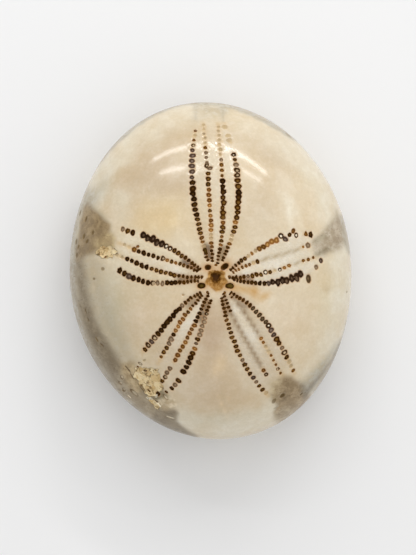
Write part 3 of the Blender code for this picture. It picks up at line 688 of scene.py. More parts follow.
def oval(half_long, half_wide, wobble=0.0, rng=None):
    """Distances out to a full oval in the directions of ROUND, with an uneven edge if it has one."""
    radii = ((np.abs(np.cos(ROUND)) / half_long) ** OVAL_FULLNESS
             + (np.abs(np.sin(ROUND)) / half_wide) ** OVAL_FULLNESS) ** (-1 / OVAL_FULLNESS)
    if wobble:
        for count in WOBBLE_WAVES:
            start = rng.uniform(0, 2 * math.pi)
            radii = radii * (1 + wobble * rng.normal() * np.cos(count * ROUND + start) / WOBBLE_EVEN)
    return radii


def from_headings(outline):
    """Distances in the directions of ROUND for an outline of (heading, distance in mm)."""
    headings, distances = zip(*outline)
    return np.interp(np.degrees(ROUND), headings, distances) * MM


def row_offset(offsets, share):
    """Side offset of a row at shares of its length."""
    return np.polyval(np.polyfit(STATIONS, offsets, 3), share)


def row_curve(turn, start, end, offsets):
    """Points on the dome along the middle of a row, the distance of each along it, and how far
    out along the petal it lies."""
    out = np.linspace(start, end, ROW_STEPS)
    side = row_offset(offsets, np.linspace(0, 1, ROW_STEPS))
    places = APICAL_CENTRE + MM * (out[:, None] * heading(turn) + side[:, None] * heading(turn + 90))
    points = points_over(DOME, places)
    steps = np.linalg.norm(np.diff(points, axis=0), axis=1)
    return points, np.concatenate([[0], np.cumsum(steps)]), out


def curve_point(points, distances, distance):
    """Point of a curve."""
    return np.array([np.interp(distance, distances, points[:, axis]) for axis in range(3)])


def pore_distances(length):
    """Distances of the pores along a row, their pitch growing away from the apical centre."""
    distances = [0.0]
    while distances[-1] < length:
        grown = min(1, distances[-1] / PITCH_GROWTH) ** PITCH_EASE
        distances.append(distances[-1] + PITCH_NEAR + (PITCH_FAR - PITCH_NEAR) * grown)
    return np.array(distances) * length / distances[-1]


def row_marks(turn, row, rng):
    """Marks of the pores of one row."""
    kind, start, end, offsets, stretches = row
    points, distances, out = row_curve(turn, start, end, offsets)
    pores = pore_distances(distances[-1])
    marks = []
    for number, (distance, pitch) in enumerate(zip(pores, np.gradient(pores))):
        reached = np.interp(distance, distances, out)
        look, width = next((look, width) for look, until, width in stretches if reached <= until)
        jitter = rng.normal(size=3)
        if look in ("none", "smear"):
            continue
        middle = curve_point(points, distances, distance)
        along = (curve_point(points, distances, distance + pitch / 2)
                 - curve_point(points, distances, distance - pitch / 2))
        along /= np.linalg.norm(along)
        across = np.cross(normals_at(dome_points, dome_spots(middle[None, :2]))[0], along)
        centre = middle + PORE_SHIFT * (jitter[0] * across + jitter[1] * along / 2)
        size = width * (1 + PORE_SPREAD * jitter[2])
        if look == "chain":
            centre += CHAIN_SWAY * (-1) ** number * across
            half_long, half_wide = CHAIN_SHARE * pitch, PORE_HALF_WIDTH[kind] * size
        else:
            long = PORE_SHARE * pitch * (PORE_LEAST + (1 - PORE_LEAST) * size)
            half_long = min(long, PORE_HALF_WIDTH[kind] * size)
            half_wide = min(PORE_HALF_WIDTH[kind] * size, PORE_WIDEST * pitch)
        radii = oval(half_long, half_wide, RIM_WOBBLE, rng)
        marks.append(Mark(centre, along, across, radii, look, PORE_DEPTH))
    return marks


def dome_marks(rng):
    """All marks of the dome."""
    marks = []
    for turn, rows in PETALS.values():
        for row in rows:
            marks += row_marks(turn, row, rng)
    for look, place, half_long, half_wide, turn in SINGLE_MARKS:
        radii = oval(half_long * MM, half_wide * MM, RIM_WOBBLE / 2, rng)
        depth = PORE_DEPTH * (FLAT_SHARE if look in FLAT_LOOKS else DEEP_SHARE)
        marks.append(mark_at(DOME, APICAL_CENTRE + np.array(place) * MM, turn, radii, look, depth))
    return marks


def base_marks(rng):
    """Marks of the underside: mouth, vent and tube-foot pores."""
    waves = np.cos(5 * ROUND)
    radii = (sum(MOUTH_RADII) + (MOUTH_RADII[0] - MOUTH_RADII[1]) * waves) / 2 * MM
    marks = [
        mark_at(BASE, np.array(MOUTH_CENTRE) * MM, FORWARD, radii, "olive", MOUTH_DEPTH),
        mark_at(BASE, np.array(VENT_CENTRE) * MM, 0,
                oval(VENT_HALF_SIZE[1] * MM, VENT_HALF_SIZE[0] * MM), "olive", VENT_DEPTH)]
    first, last, pitch = FOOT_PORES
    for ray in range(5):
        turn = FORWARD + ray * FIFTH
        for side in (-1, 1):
            for step, out in enumerate(np.arange(first, last, pitch)):
                least, swell, zigzag = FOOT_OFFSETS
                aside = least + swell * math.sin(math.pi * (out - first) / (last - first))
                place = (np.array(MOUTH_CENTRE) + out * heading(turn)
                         + side * (aside + zigzag * (step % 2)) * heading(turn + 90))
                radii = oval(FOOT_RADIUS * MM, FOOT_RADIUS * MM, RIM_WOBBLE, rng)
                marks.append(mark_at(BASE, place * MM, turn, radii, "brown", PORE_DEPTH))
    return marks


def local_reach(mark, points):
    """Distances of points from a mark's centre, in sizes of the mark."""
    offset = points - mark.centre
    along, across = offset @ mark.along, offset @ mark.across
    size = np.interp(np.arctan2(across, along), ROUND, mark.radii)
    return np.sqrt((offset ** 2).sum(axis=1)) / size


def mark_points(mark):
    """Points that a mark is drawn with: its centre and rings round it."""
    points = [mark.centre[None]]
    for ring, (share, count) in enumerate(MARK_RINGS):
        angles = ring_angles(ring, count) - math.pi
        size = share * np.interp(angles, ROUND, mark.radii)
        points.append(mark.centre + (size * np.cos(angles))[:, None] * mark.along
                      + (size * np.sin(angles))[:, None] * mark.across)
    return np.concatenate(points)


def nearest_marks(marks, points):
    """For each point, the mark nearest to it in the mark's own sizes, and that distance."""
    tree = kdtree.KDTree(len(points))
    for index, point in enumerate(points):
        tree.insert(point, index)
    tree.balance()
    reach = np.full(len(points), MARK_FIELD)
    nearest = np.zeros(len(points), int)
    for number, mark in enumerate(marks):
        found = tree.find_range(mark.centre, MARK_FIELD * mark.radii.max())
        near = np.array([index for _, index, _ in found], int)
        if len(near):
            own = local_reach(mark, points[near])
            closer = own < reach[near]
            reach[near[closer]] = own[closer]
            nearest[near[closer]] = number
    return reach, nearest


# Areas with straight sides, in mm

def depth_inside(places, corners):
    """Distances of places in from the sides of a polygon, below 0 outside it."""
    inside = np.zeros(len(places), bool)
    nearest = np.full(len(places), np.inf)
    for start, end in zip(corners, corners[1:] + corners[:1]):
        start, end = np.array(start), np.array(end)
        side = end - start
        share = np.clip((places - start) @ side / (side @ side), 0, 1)
        nearest = np.minimum(nearest, np.linalg.norm(places - start - share[:, None] * side, axis=1))
        if start[1] != end[1]:
            x, y = places.T
            crossing = start[0] + (y - start[1]) * side[0] / side[1]
            inside ^= ((start[1] > y) != (end[1] > y)) & (x < crossing)
    return np.where(inside, nearest, -nearest)


def chip_inside(places):
    """How far inside a chip each place lies, in mm, with ragged edges."""
    ragged = places + stray(places, *CHIP_STRAY)
    return np.max([depth_inside(ragged, corners) for corners in CHIPS], axis=0)


# Mesh

def spread_spots(rings, rim_points):
    """Even spots on rings from the middle of the disc to just inside its rim."""
    spots = [np.zeros((1, 2))]
    for ring in range(1, rings):
        count = max(6, rim_points * ring // rings)
        spots.append(circle(ring_angles(ring, count)) * ring / rings)
    return np.concatenate(spots)


def grid_places(middle, half_size, grain):
    """Places on a staggered grid round a middle."""
    count = int(half_size / grain)
    rows, columns = np.mgrid[-count:count + 1, -count:count + 1].reshape(2, -1)
    return middle + grain * np.stack((columns + rows % 2 / 2, rows * 0.87), axis=1)


def dense_places():
    """Places in plan where the dome needs a fine mesh: the chips and the star."""
    places = []
    for corners in CHIPS:
        corners = APICAL_CENTRE + np.array(corners) * MM
        middle = (corners.min(axis=0) + corners.max(axis=0)) / 2
        grid = grid_places(middle, np.ptp(corners, axis=0).max() * 0.7, CHIP_GRAIN)
        inside = depth_inside(grid / MM, [tuple(corner / MM) for corner in corners])
        places.append(grid[inside > -CHIP_MARGIN])
    grid = grid_places(APICAL_CENTRE, STAR_REACH, STAR_GRAIN)
    places.append(grid[np.hypot(*(grid - APICAL_CENTRE).T) < STAR_REACH])
    return np.concatenate(places)


def thinned(points, fixed):
    """Indices of points that keep clear of those before them. The first few always stay."""
    cells = {}
    kept = []
    for index, key in enumerate(map(tuple, np.floor(points / CLEARANCE).astype(int))):
        near = [other for shift in np.ndindex(3, 3, 3)
                for other in cells.get((key[0] + shift[0] - 1, key[1] + shift[1] - 1,
                                        key[2] + shift[2] - 1), ())]
        close = any(((points[index] - points[other]) ** 2).sum() < CLEARANCE ** 2
                    for other in near)
        if index < fixed or not close:
            cells.setdefault(key, []).append(index)
            kept.append(index)
    return np.array(kept)


def face_layout(face, marks, extra_places, rings):
    """Spots and triangles of one face, its rim first."""
    rim = circle(ring_angles(0, RIM_POINTS))
    drawn = np.concatenate([mark_points(mark) for mark in marks])
    points_each = 1 + sum(count for _, count in MARK_RINGS)
    owner = np.repeat(np.arange(len(marks)), points_each)
    reach, nearest = nearest_marks(marks, drawn)
    drawn = drawn[nearest == owner]
    spread = spread_spots(rings, RIM_POINTS)
    spread_reach, _ = nearest_marks(marks, face[0](spread))
    spread = spread[spread_reach > MARK_RINGS[-1][0]]
    spots = np.concatenate((rim, face[1](drawn[:, :2]), face[1](extra_places), spread))
    spots = spots[thinned(face[0](spots), RIM_POINTS)]
    triangles = delaunay_2d_cdt([Vector(spot) for spot in spots], [], [], 0, SAME_SPOT)[2]
    return spots, triangles


def dents(marks, reach, nearest):
    """Depth of the marks at each point."""
    return np.array([mark.depth for mark in marks])[nearest] * (1 - ease(reach, *DENT_SLOPE))


def dome_drop(places, reach, marks, nearest):
    """Depth of each point of the dome under the smooth face."""
    inside = chip_inside(places)
    rough = sum(share * lumps(places, size, shift) for share, size, shift in CHIP_LUMPS)
    chip = ease(inside, 0, CHIP_EDGE) * (CHIP_DEPTH + CHIP_ROUGH * rough)
    angles, distance = np.arctan2(places[:, 1], places[:, 0]), np.hypot(*places.T)
    star, core = (distance / np.interp(angles, ROUND, from_headings(outline) / MM)
                  for outline in (STAR_OUTLINE, CORE_OUTLINE))
    hollow = STAR_DEPTH * (1 - ease(star, *STAR_SLOPE)) + CORE_DEPTH * (1 - ease(core, *CORE_SLOPE))
    drop = np.maximum(np.maximum(dents(marks, reach, nearest), chip), hollow)
    return drop, inside, star, core


def base_drop(places, reach, marks, nearest):
    """Height of each point of the underside above the smooth face, the lips below it."""
    depths = dents(marks, reach, nearest)
    for ray in range(5):
        lip = np.array(MOUTH_CENTRE) + LIP_DISTANCE * heading(FORWARD + (ray + 0.5) * FIFTH)
        depths -= LIP_HEIGHT * np.maximum(0, 1 - (np.hypot(*(places - lip).T) / LIP_RADIUS) ** 2) ** 2
    return depths


def petal_coordinates(places, turn):
    """How far out along a petal places lie, and how far to its side."""
    return places @ heading(turn), places @ heading(turn + 90)


def row_side(row, out):
    """Side offset of a row at distances out along its petal."""
    _, start, end, offsets, _ = row
    return row_offset(offsets, np.clip((out - start) / (end - start), 0, 1))


def blend_over(ground, colour, amount):
    """Ground with a colour laid over it."""
    return ground + (linear(colour) - ground) * amount[:, None]


def cloud_amount(places, place, half_size, turn, strength):
    """How much a soft cloud covers places."""
    offset = places - place
    along, across = offset @ heading(turn), offset @ heading(turn + 90)
    return strength * np.exp(-(along / half_size[0]) ** 2 - (across / half_size[1]) ** 2)


def across_rows(side, one, other, least):
    """Distance of places from the middle between two rows, 1 on a row. Half the distance between
    the rows counts as least, in mm, where it is smaller."""
    return np.abs(side - (one + other) / 2) / np.maximum(least, np.abs(one - other) / 2)


def row_stain(petal, look, width):
    """Stain under a stretch of a row, if it has one: its colour and strength, half its width in
    mm, and how softly it starts and ends."""
    if look == "smear":
        return *SMEARS[petal], SMEAR_WIDTH * width, SMEAR_ENDS
    if look in STAINING:
        return *ROW_STAINS.get(look, ROW_STAIN), ROW_STAIN_WIDTH, STAIN_ENDS
    return None


def petal_colour(ground, petal, places, on_dome):
    """Ground with the paler lanes and the stains of a petal, and how much each place lies
    between its rows."""
    turn, rows = PETALS[petal]
    out, side = petal_coordinates(places, turn)
    last = min(row[2] for row in rows)
    sides = [row_side(row, out) for row in rows]
    lane = 1 - ease(across_rows(side, sides[0], sides[3], PETAL_LEAST), *LANE_EDGE)
    lane = lane * ease(out, *LANE_START) * (1 - ease(out, last - 1, last + 2))
    pale, strength, middle_strength = LANES[petal]
    ground = blend_over(ground, pale, strength * lane * on_dome)
    whiter = 1 - ease(across_rows(side, sides[1], sides[2], MIDDLE_LEAST), *MIDDLE_EDGE)
    whiter = whiter * ease(out, *MIDDLE_START) * (1 - ease(out, MIDDLE_FADE, last - 1))
    ground = blend_over(ground, MIDDLE_LANE, middle_strength * whiter * on_dome)
    for row, middle in zip(rows, sides):
        begun = row[1]
        for look, until, width in row[4]:
            stain = row_stain(petal, look, width)
            if stain:
                tone, strength, half_width, (early, late, end) = stain
                stripe = np.exp(-((side - middle) / half_width) ** 2)
                stripe *= between(out, begun - early, begun + late, until - end, until + end)
                ground = blend_over(ground, tone, strength * stripe * on_dome)
            begun = until
    return ground, lane * on_dome


def ground_colour(places, on_dome):
    """Soft colour of the stone at places in mm without its small grain, and how much each place
    lies between the rows of a petal."""
    warped = places + stray(places, *CLOUD_STRAY)
    ground = np.tile(linear(CREAM), (len(places), 1))
    for colour, *cloud in CLOUDS:
        ground = blend_over(ground, colour, cloud_amount(warped, *cloud))
    angles, reach = outline_reach(warped * MM + APICAL_CENTRE)
    start, full, fading, end = MILK_REACHES
    milk = np.interp(np.degrees(angles), *zip(*MILK_STRENGTHS))
    milk *= ease(reach, start, full) * (1 - MILK_FADE * ease(reach, fading, end))
    ground = blend_over(ground, MILK, milk)
    for colour, *spot in SPOTS:
        ground = blend_over(ground, colour, cloud_amount(places, *spot) * on_dome)
    lanes = np.zeros(len(places))
    for petal in PETALS:
        ground, lane = petal_colour(ground, petal, places, on_dome)
        lanes = np.maximum(lanes, lane)
    for petal, pair, until, colour, strength in ROOT_SMEARS:
        turn, rows = PETALS[petal]
        rows = [rows[number] for number in pair]
        out, side = petal_coordinates(places, turn)
        begun = max(row[1] for row in rows)
        across = across_rows(side, *(row_side(row, out) for row in rows), PAIR_LEAST)
        smear = (1 - ease(across, *PAIR_EDGE)) * ease(out, begun - 0.1, begun + 0.3)
        smear *= 1 - ease(out, until - SMEAR_FADE, until)
        ground = blend_over(ground, colour, strength * smear * on_dome)
    return ground, lanes


def patch_colours(places, sunk):
    """Colour of the grey-brown patch at each place, and how much it covers there. The patches
    stray more the further in mm that places lie under the widest outline."""
    warped = places + stray(places, *PATCH_STRAY)
    low_reach = FLANK_STRAY * ease(sunk, 0, FLANK_RAMP)
    warped += stray(places, low_reach[:, None], FLANK_LUMPS, (10 + sunk / 2, 30 + sunk / 2))
    angles, reach = outline_reach(warped * MM + APICAL_CENTRE)
    colour, cover = np.tile(linear(PATCHES[0][0]), (len(places), 1)), np.zeros(len(places))
    for tone, corners, softness, strength in PATCHES:
        middle = corners[0][0]
        turns = (np.degrees(angles) - middle + 180) % 360 - 180
        unrolled = np.stack((turns * EDGE_DEGREE, reach * EDGE_RADIUS), axis=1)
        polygon = [((turn - middle) * EDGE_DEGREE, share * EDGE_RADIUS) for turn, share in corners]
        own = strength * ease(depth_inside(unrolled, polygon), -softness, softness)
        cover = own + cover * (1 - own)
        colour = blend_over(colour, tone, own / np.maximum(cover, 1e-6))
    return colour, cover


def mark_colours(marks, points, nearest, rng):
    """Rim colour with cover, and filling colour with its share, of each point's mark."""
    rims, fillings, offsets = [], [], []
    for mark in marks:
        rim, filling, share, cover = LOOKS[mark.look]
        tone = 1 + TONE_SPREAD * rng.normal()
        rims.append((*(linear(rim) * tone), cover))
        fillings.append((*(linear(filling) * tone), share * (1 + SHARE_SPREAD * rng.normal())))
        offsets.append((OFFSETS.get(mark.look, OFFSET),
                        math.radians(rng.normal(*OFFSET_HEADING)), *mark.centre[:2]))
    rims, fillings, offsets = (np.array(values)[nearest] for values in (rims, fillings, offsets))
    # The filling grows towards its offset heading, leaving the rim as a crescent of painted shade on
    # the other side
    turns = np.arctan2(points[:, 1] - offsets[:, 3], points[:, 0] - offsets[:, 2])
    fillings[:, 3] *= 1 + offsets[:, 0] * np.cos(turns - offsets[:, 1])
    return rims, fillings


def add_field(mesh, name, values):
    """Store a number, or a colour with its alpha, for each point of a mesh."""
    values = np.asarray(values, np.float32)
    kind, key = ("FLOAT_COLOR", "color") if values.ndim == 2 else ("FLOAT", "value")
    mesh.attributes.new(name, kind, "POINT").data.foreach_set(key, values.ravel())


def add_object(name, data):
    """New object in the scene."""
    thing = bpy.data.objects.new(name, data)
    bpy.context.scene.collection.objects.link(thing)
    return thing


def test_piece():
    """The whole test as one mesh with the fields that its material reads."""
    rng = np.random.default_rng(SEED)
    above, below = dome_marks(rng), base_marks(rng)
    dome_layout, dome_triangles = face_layout(DOME, above, dense_places(), DOME_RINGS)
    base_layout, base_triangles = face_layout(BASE, below, np.zeros((1, 2)), BASE_RINGS)
    base_layout = base_layout[RIM_POINTS:]

    dome, base = dome_points(dome_layout), base_points(base_layout)
    reach, nearest = nearest_marks(above, dome)
    base_reach, base_nearest = nearest_marks(below, base)
    places = (dome[:, :2] - APICAL_CENTRE) / MM
    base_places = base[:, :2] / MM
    drop, inside, star, core = dome_drop(places, reach, above, nearest)
    rise = base_drop(base_places, base_reach, below, base_nearest)
    points = np.concatenate((dome - drop[:, None] * normals_at(dome_points, dome_layout),
                             base + rise[:, None] * normals_at(base_points, base_layout)))
    points[:, :2] = (points[:, :2] - BOX_MIDDLE * MEAN_RADIUS) * FIT

    shift = len(dome) - RIM_POINTS
    triangles = list(dome_triangles)
    triangles += [[i if i < RIM_POINTS else i + shift for i in reversed(t)] for t in base_triangles]
    mesh = bpy.data.meshes.new("fossil_test")
    mesh.from_pydata(points.tolist(), [], triangles)
    mesh.shade_smooth()

    all_places = np.concatenate((places, (base[:, :2] - APICAL_CENTRE) / MM))
    on_dome = np.concatenate((np.ones(len(dome)), np.zeros(len(base))))
    ground, lanes = ground_colour(all_places, on_dome)
    sunk = np.concatenate((np.zeros(len(dome)), (EDGE_HEIGHT - base[:, 2]) / MM))
    stone, cover = patch_colours(all_places, sunk)
    rim, filling = mark_colours(above, dome, nearest, rng)
    base_rim, base_filling = mark_colours(below, base, base_nearest, rng)
    far = np.full(len(base), FAR)
    fields = {"ground": np.column_stack((ground, np.ones(len(ground)))),
              "patch": np.column_stack((stone, cover)),
              "mark_reach": np.concatenate((reach, base_reach)),
              "mark_rim": np.concatenate((rim, base_rim)),
              "mark_filling": np.concatenate((filling, base_filling)),
              "lane": lanes,
              "chip": np.concatenate((inside, -far)),
              "star": np.concatenate((star, far)),
              "star_core": np.concatenate((core, far))}
    for name, values in fields.items():
        add_field(mesh, name, values)
    return add_object("fossil_test", mesh)


# Material

PATCH_DULL = (206, 198, 184)
PATCH_STREAK = (158, 138, 112)
PATCH_GRAIN = (150, 132, 108)
CHIP_DARK = (210, 180, 128)
CHIP_PALE = (246, 228, 186)
CHIP_PIT = (156, 124, 80)
CHIP_SEAM = (132, 102, 62)
STAR_DARK = (162, 116, 56)
STAR_PALE = (208, 164, 98)
STAR_BROWN = (140, 98, 46)
CORE_RIM = (132, 90, 36)
CORE_MIDDLE = (80, 48, 14)
FRINGE = (212, 152, 84)
GROUND_TINTS = (247, 241, 231), (248, 245, 239), (246, 245, 243)  # broad, middle and fine


class Graph:
    """Builds a material's nodes."""

    def __init__(self, name):
        self.material = bpy.data.materials.new(name)
        self.material.use_nodes = True
        self.tree = self.material.node_tree
        self.surface = self.tree.nodes["Principled BSDF"]

    def feed(self, socket, value):
        """Link an output to a socket, or set the socket to a plain value."""
        if isinstance(value, bpy.types.NodeSocket):
            self.tree.links.new(value, socket)
        else:
            socket.default_value = value

    def field(self, name, part="Fac"):
        """Field stored in the mesh."""
        node = self.tree.nodes.new("ShaderNodeAttribute")
        node.attribute_name = name
        return node.outputs[part]

    def math(self, operation, *values):
        """Plain arithmetic."""
        node = self.tree.nodes.new("ShaderNodeMath")
        node.operation = operation
        for socket, value in zip(node.inputs, values):
            self.feed(socket, value)
        return node.outputs[0]

    def times(self, *values):
        """One value times another."""
        return self.math("MULTIPLY", *values)

    def plus(self, *values):
        """One value and another."""
        return self.math("ADD", *values)

    def most(self, *values):
        """The larger of two values."""
        return self.math("MAXIMUM", *values)

    def ease(self, value, low, high, start=0.0, end=1.0):
        """Smooth step of a value from start to end."""
        node = self.tree.nodes.new("ShaderNodeMapRange")
        node.interpolation_type = "SMOOTHSTEP"
        for name, given in (("Value", value), ("From Min", low), ("From Max", high),
                            ("To Min", start), ("To Max", end)):
            self.feed(node.inputs[name], given)
        return node.outputs["Result"]

    def places(self):
        """Places on the piece, from its own origin."""
        return self.tree.nodes.new("ShaderNodeTexCoord").outputs["Object"]

    def texture(self, kind, size, vector):
        """Texture node with lumps about a size in mm."""
        node = self.tree.nodes.new("ShaderNodeTex" + kind)
        self.feed(node.inputs["Vector"], vector)
        node.inputs["Scale"].default_value = 1 / (size * MM)
        return node

    def noise(self, size, detail=3.0, roughness=0.5, stretch=(1, 1, 1), turn=0.0):
        """Noise from 0 to 1 with lumps about a size in mm."""
        mapping = self.tree.nodes.new("ShaderNodeMapping")
        mapping.inputs["Scale"].default_value = stretch
        mapping.inputs["Rotation"].default_value = (0, 0, math.radians(turn))
        self.feed(mapping.inputs["Vector"], self.places())
        node = self.texture("Noise", size, mapping.outputs["Vector"])
        node.inputs["Detail"].default_value = detail
        node.inputs["Roughness"].default_value = roughness
        return node.outputs["Fac"]

    def rubble(self, size):
        """Random lightness from 0 to 1 of angular lumps about a size in mm, and how far inside
        its lump a point lies, as a share of the size."""
        place = self.places()
        bent = self.texture("Noise", size / 2, place)
        scaled = self.tree.nodes.new("ShaderNodeVectorMath")
        scaled.operation = "MULTIPLY_ADD"
        self.feed(scaled.inputs[0], bent.outputs["Color"])
        scaled.inputs[1].default_value = (0.9 * size * MM,) * 3
        self.feed(scaled.inputs[2], place)
        lump, edge = (self.texture("Voronoi", size, scaled.outputs["Vector"]) for _ in range(2))
        edge.feature = "DISTANCE_TO_EDGE"
        return self.part(lump.outputs["Color"], 0), edge.outputs["Distance"]

    def mix(self, amount, below, above, blend="MIX"):
        """Colour laid over another."""
        node = self.tree.nodes.new("ShaderNodeMix")
        node.data_type = "RGBA"
        node.blend_type = blend
        for name, given in (("Factor_Float", amount), ("A_Color", below), ("B_Color", above)):
            socket = next(s for s in node.inputs if s.identifier == name)
            self.feed(socket, given)
        return next(s for s in node.outputs if s.identifier == "Result_Color")

    def part(self, colour, index):
        """One part of a colour."""
        node = self.tree.nodes.new("ShaderNodeSeparateColor")
        self.feed(node.inputs[0], colour)
        return node.outputs[index]


def solid(colour):
    """Linear colour with full cover."""
    return (*linear(colour), 1)


def fossil_material():
    """Polished calcite with its grain, patches, chips, star and stained pores."""
    g = Graph("fossil_calcite")
    ground = g.field("ground", "Color")
    broad = g.noise(4.5, 4, 0.55)
    middle = g.noise(1.1, 4, 0.6)
    fine = g.noise(0.28, 3, 0.6)
    colour = ground
    amounts = g.ease(broad, 0.35, 0.7), g.ease(middle, 0.7, 0.4), g.ease(fine, 0.8, 0.2)
    for amount, tint in zip(amounts, GROUND_TINTS):
        colour = g.mix(amount, colour, g.mix(1.0, colour, solid(tint), "MULTIPLY"))

    cover = g.field("patch", "Alpha")
    ragged = g.times(g.math("SUBTRACT", middle, 0.5), g.ease(cover, 0.0, 0.4, 0.0, 0.8))
    patch_amount = g.ease(g.plus(cover, ragged), -0.05, 0.95, 0.0, 0.95)
    tone = g.mix(g.ease(middle, 0.35, 0.65), solid(PATCH_DULL), solid((255, 255, 255)))
    streaks = g.noise(0.5, 4, 0.65, (1.0, 2.2, 1.0), 35)
    tone = g.mix(g.ease(streaks, 0.54, 0.68, 0.0, 0.45), tone, solid(PATCH_STREAK))
    tone = g.mix(g.ease(fine, 0.55, 0.75, 0.0, 0.4), tone, solid(PATCH_GRAIN))
    stone = g.mix(1.0, g.field("patch", "Color"), tone, "MULTIPLY")
    colour = g.mix(patch_amount, colour, stone)

    chip_amount = g.ease(g.field("chip"), -0.03, 0.06)
    grit = g.noise(0.45, 4, 0.65)
    lump, seam = g.rubble(0.7)
    chip_stone = g.mix(lump, solid(CHIP_DARK), solid(CHIP_PALE))
    chip_stone = g.mix(g.ease(grit, 0.46, 0.32, 0.0, 0.85), chip_stone, solid(CHIP_PIT))
    seam_amount = g.times(g.ease(seam, 0.13, 0.0), g.ease(middle, 0.48, 0.62, 0.0, 0.8))
    chip_stone = g.mix(seam_amount, chip_stone, solid(CHIP_SEAM))
    colour = g.mix(chip_amount, colour, chip_stone)

    star, core = g.field("star"), g.field("star_core")
    golden = g.mix(g.ease(fine, 0.35, 0.7), solid(STAR_DARK), solid(STAR_PALE))
    golden = g.mix(g.ease(middle, 0.56, 0.44, 0.0, 0.5), golden, solid(STAR_BROWN))
    star_amount = g.ease(star, 1.15, 0.9)
    colour = g.mix(star_amount, colour, golden)
    core = g.plus(core, g.ease(fine, 0.3, 0.7, -0.25, 0.25))
    colour = g.mix(g.ease(core, 1.45, 1.05), colour, solid(CORE_RIM))
    colour = g.mix(g.ease(core, 1.05, 0.6), colour, solid(CORE_MIDDLE))

    reach = g.field("mark_reach")
    uneven = g.plus(reach, g.times(g.math("SUBTRACT", fine, 0.5), 0.25))
    rim, filling = g.field("mark_rim", "Color"), g.field("mark_filling", "Color")
    share = g.field("mark_filling", "Alpha")
    mark = g.mix(g.ease(uneven, g.plus(share, 0.15), g.math("SUBTRACT", share, 0.25)),
                 rim, filling)
    mark_amount = g.times(g.ease(uneven, 1.15, 0.95), g.field("mark_rim", "Alpha"))
    fringe = g.mix(0.7, rim, solid(FRINGE))
    fringe_amount = g.times(g.ease(uneven, 1.5, 1.0, 0.0, 0.6),
                           g.math("GREATER_THAN", g.field("mark_rim", "Alpha"), 0.85))
    colour = g.mix(fringe_amount, colour, fringe)
    colour = g.mix(mark_amount, colour, mark)
    g.feed(g.surface.inputs["Base Color"], colour)

    rough = g.ease(broad, 0.3, 0.7, 0.35, 0.45)
    rough = g.most(rough, g.times(mark_amount, 0.6))
    rough = g.most(rough, g.times(chip_amount, 0.85))
    g.feed(g.surface.inputs["Roughness"], rough)
    g.surface.inputs["IOR"].default_value = 1.08
    dull = g.most(chip_amount, g.times(patch_amount, 0.45))
    dull = g.most(dull, g.times(star_amount, 0.9))
    dull = g.most(dull, g.math("SUBTRACT", 1.0, g.ease(uneven, 0.9, 1.2)))
    g.feed(g.surface.inputs["Coat Weight"], g.math("SUBTRACT", 1.0, dull))
    g.surface.inputs["Coat Roughness"].default_value = 0.13
    g.surface.inputs["Coat IOR"].default_value = 1.55
    g.surface.inputs["Subsurface Weight"].default_value = 0.12
    g.surface.inputs["Subsurface Radius"].default_value = (1.0, 0.8, 0.55)
    g.surface.inputs["Subsurface Scale"].default_value = 0.5 * MM

    bump = g.tree.nodes.new("ShaderNodeBump")
    waves = g.times(g.noise(0.5, 3, 0.6), 0.012)
    pits = g.plus(g.times(grit, 0.10), g.times(g.noise(0.2, 1), 0.06))
    waves = g.plus(waves, g.times(pits, g.field("lane")))
    broken = g.plus(g.times(grit, 0.25), g.times(lump, 0.12))
    relief = g.plus(waves, g.times(broken, chip_amount))
    g.feed(bump.inputs["Height"], relief)
    bump.inputs["Distance"].default_value = MM
    g.feed(g.surface.inputs["Normal"], bump.outputs["Normal"])
    return g.material


# Stage, lights and camera

FLOOR_COLOUR = (236, 236, 236)
FLOOR_HALF = 1.5  # half its size in metres
CAMERA_PLACE = (-0.298, -0.790, 221.4)  # in mm, looking straight down with the front up
FRAME_HEIGHT = 65.87  # of the picture at the level of the widest outline
SENSOR = 36.0
BRIGHT_SIDE = (0.6, 0.2, 0.5)  # where the room is brightest
BRIGHT_SKY = 0.93
DIM_SKY = 0.665
PANEL_PLACE, PANEL_AIM = (8, 405, 300), (0, 0, 8)  # in mm
PANEL_SIZE = (420, 250)
PANEL_POWER = 0.20
STRIP_LEVEL = 300  # height of the bright edges of the window, in mm
STRIPS = (("strip_high_left", (-345, 484), (85, 494), 58, 0.85),  # name, ends, width, power
          ("strip_high_right", (85, 494), (295, 366), 54, 0.50),
          ("strip_high_middle", (55, 480), (180, 446), 16, 0.20),
          ("strip_low_left", (-208, 294), (-95, 282), 24, 0.10),
          ("strip_low_middle", (-95, 276), (30, 276), 18, 0.06),
          ("strip_low_right", (104, 300), (218, 278), 26, 0.09))


def floor_piece():
    """Plain pale floor."""
    mesh = bpy.data.meshes.new("floor")
    corners = [(-1, -1), (1, -1), (1, 1), (-1, 1)]
    mesh.from_pydata([(x * FLOOR_HALF, y * FLOOR_HALF, 0) for x, y in corners], [], [(0, 1, 2, 3)])
    graph = Graph("floor_paper")
    graph.feed(graph.surface.inputs["Base Color"], solid(FLOOR_COLOUR))
    graph.surface.inputs["Roughness"].default_value = 0.9
    graph.surface.inputs["Specular IOR Level"].default_value = 0.2
    mesh.materials.append(graph.material)
    return add_object("floor", mesh)


def area_light(name, place, size, power):
    """Rectangular light at a place in mm, with its size in mm, facing down."""
    light = bpy.data.lights.new(name, "AREA")
    light.shape = "RECTANGLE"
    light.size, light.size_y = size[0] * MM, size[1] * MM
    light.energy = power
    thing = add_object(name, light)
    thing.location = Vector(place) * MM
    return thing


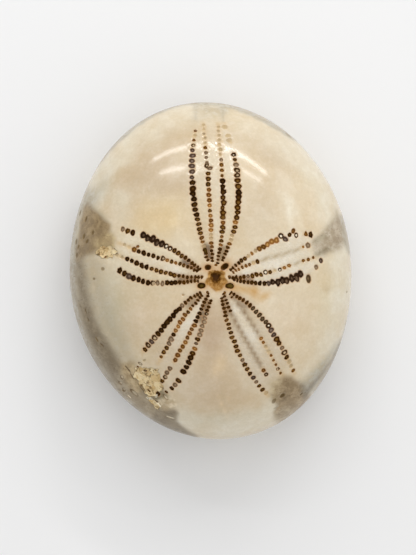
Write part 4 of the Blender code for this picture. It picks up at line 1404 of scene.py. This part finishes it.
def strip_light(name, start, end, width, power):
    """Straight strip of light between two places in mm, facing down."""
    start, end = Vector((*start, STRIP_LEVEL)), Vector((*end, STRIP_LEVEL))
    strip = area_light(name, (start + end) / 2, ((end - start).length, width), power)
    strip.rotation_euler = (0, 0, math.atan2(end.y - start.y, end.x - start.x))


def light_scene():
    """Soft window light from the front, brightest on the right, with its bright edges."""
    world = bpy.data.worlds.new("studio")
    world.use_nodes = True
    tree = world.node_tree
    place = tree.nodes.new("ShaderNodeTexCoord")
    toward = tree.nodes.new("ShaderNodeVectorMath")
    toward.operation = "DOT_PRODUCT"
    toward.inputs[1].default_value = Vector(BRIGHT_SIDE).normalized()
    tree.links.new(place.outputs["Generated"], toward.inputs[0])
    glow = tree.nodes.new("ShaderNodeMapRange")
    glow.interpolation_type = "SMOOTHERSTEP"
    for name, value in (("From Min", -0.4), ("From Max", 1.0), ("To Min", DIM_SKY),
                        ("To Max", BRIGHT_SKY)):
        glow.inputs[name].default_value = value
    tree.links.new(toward.outputs["Value"], glow.inputs["Value"])
    tree.links.new(glow.outputs["Result"], tree.nodes["Background"].inputs["Strength"])
    tree.nodes["Background"].inputs["Color"].default_value = (1.0, 1.0, 1.0, 1)
    bpy.context.scene.world = world
    panel = area_light("panel", PANEL_PLACE, PANEL_SIZE, PANEL_POWER)
    away = Vector(PANEL_PLACE) - Vector(PANEL_AIM)
    panel.rotation_euler = away.to_track_quat("Z", "Y").to_euler()
    for strip in STRIPS:
        strip_light(*strip)


def place_camera():
    """Camera straight above, as in the photograph."""
    camera = bpy.data.cameras.new("camera")
    camera.sensor_width = SENSOR
    camera.lens = SENSOR * (CAMERA_PLACE[2] - EDGE_HEIGHT / MM) / FRAME_HEIGHT
    camera.clip_start = 0.01
    thing = add_object("camera", camera)
    thing.location = Vector(CAMERA_PLACE) * MM
    bpy.context.scene.camera = thing


def main():
    """Build the looks."""
    fossil = test_piece()
    fossil.data.materials.append(fossil_material())
    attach(fossil, "root")
    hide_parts("sand_dollar")
    floor_piece()
    light_scene()
    place_camera()
    bpy.context.scene.view_settings.view_transform = "Standard"


main()
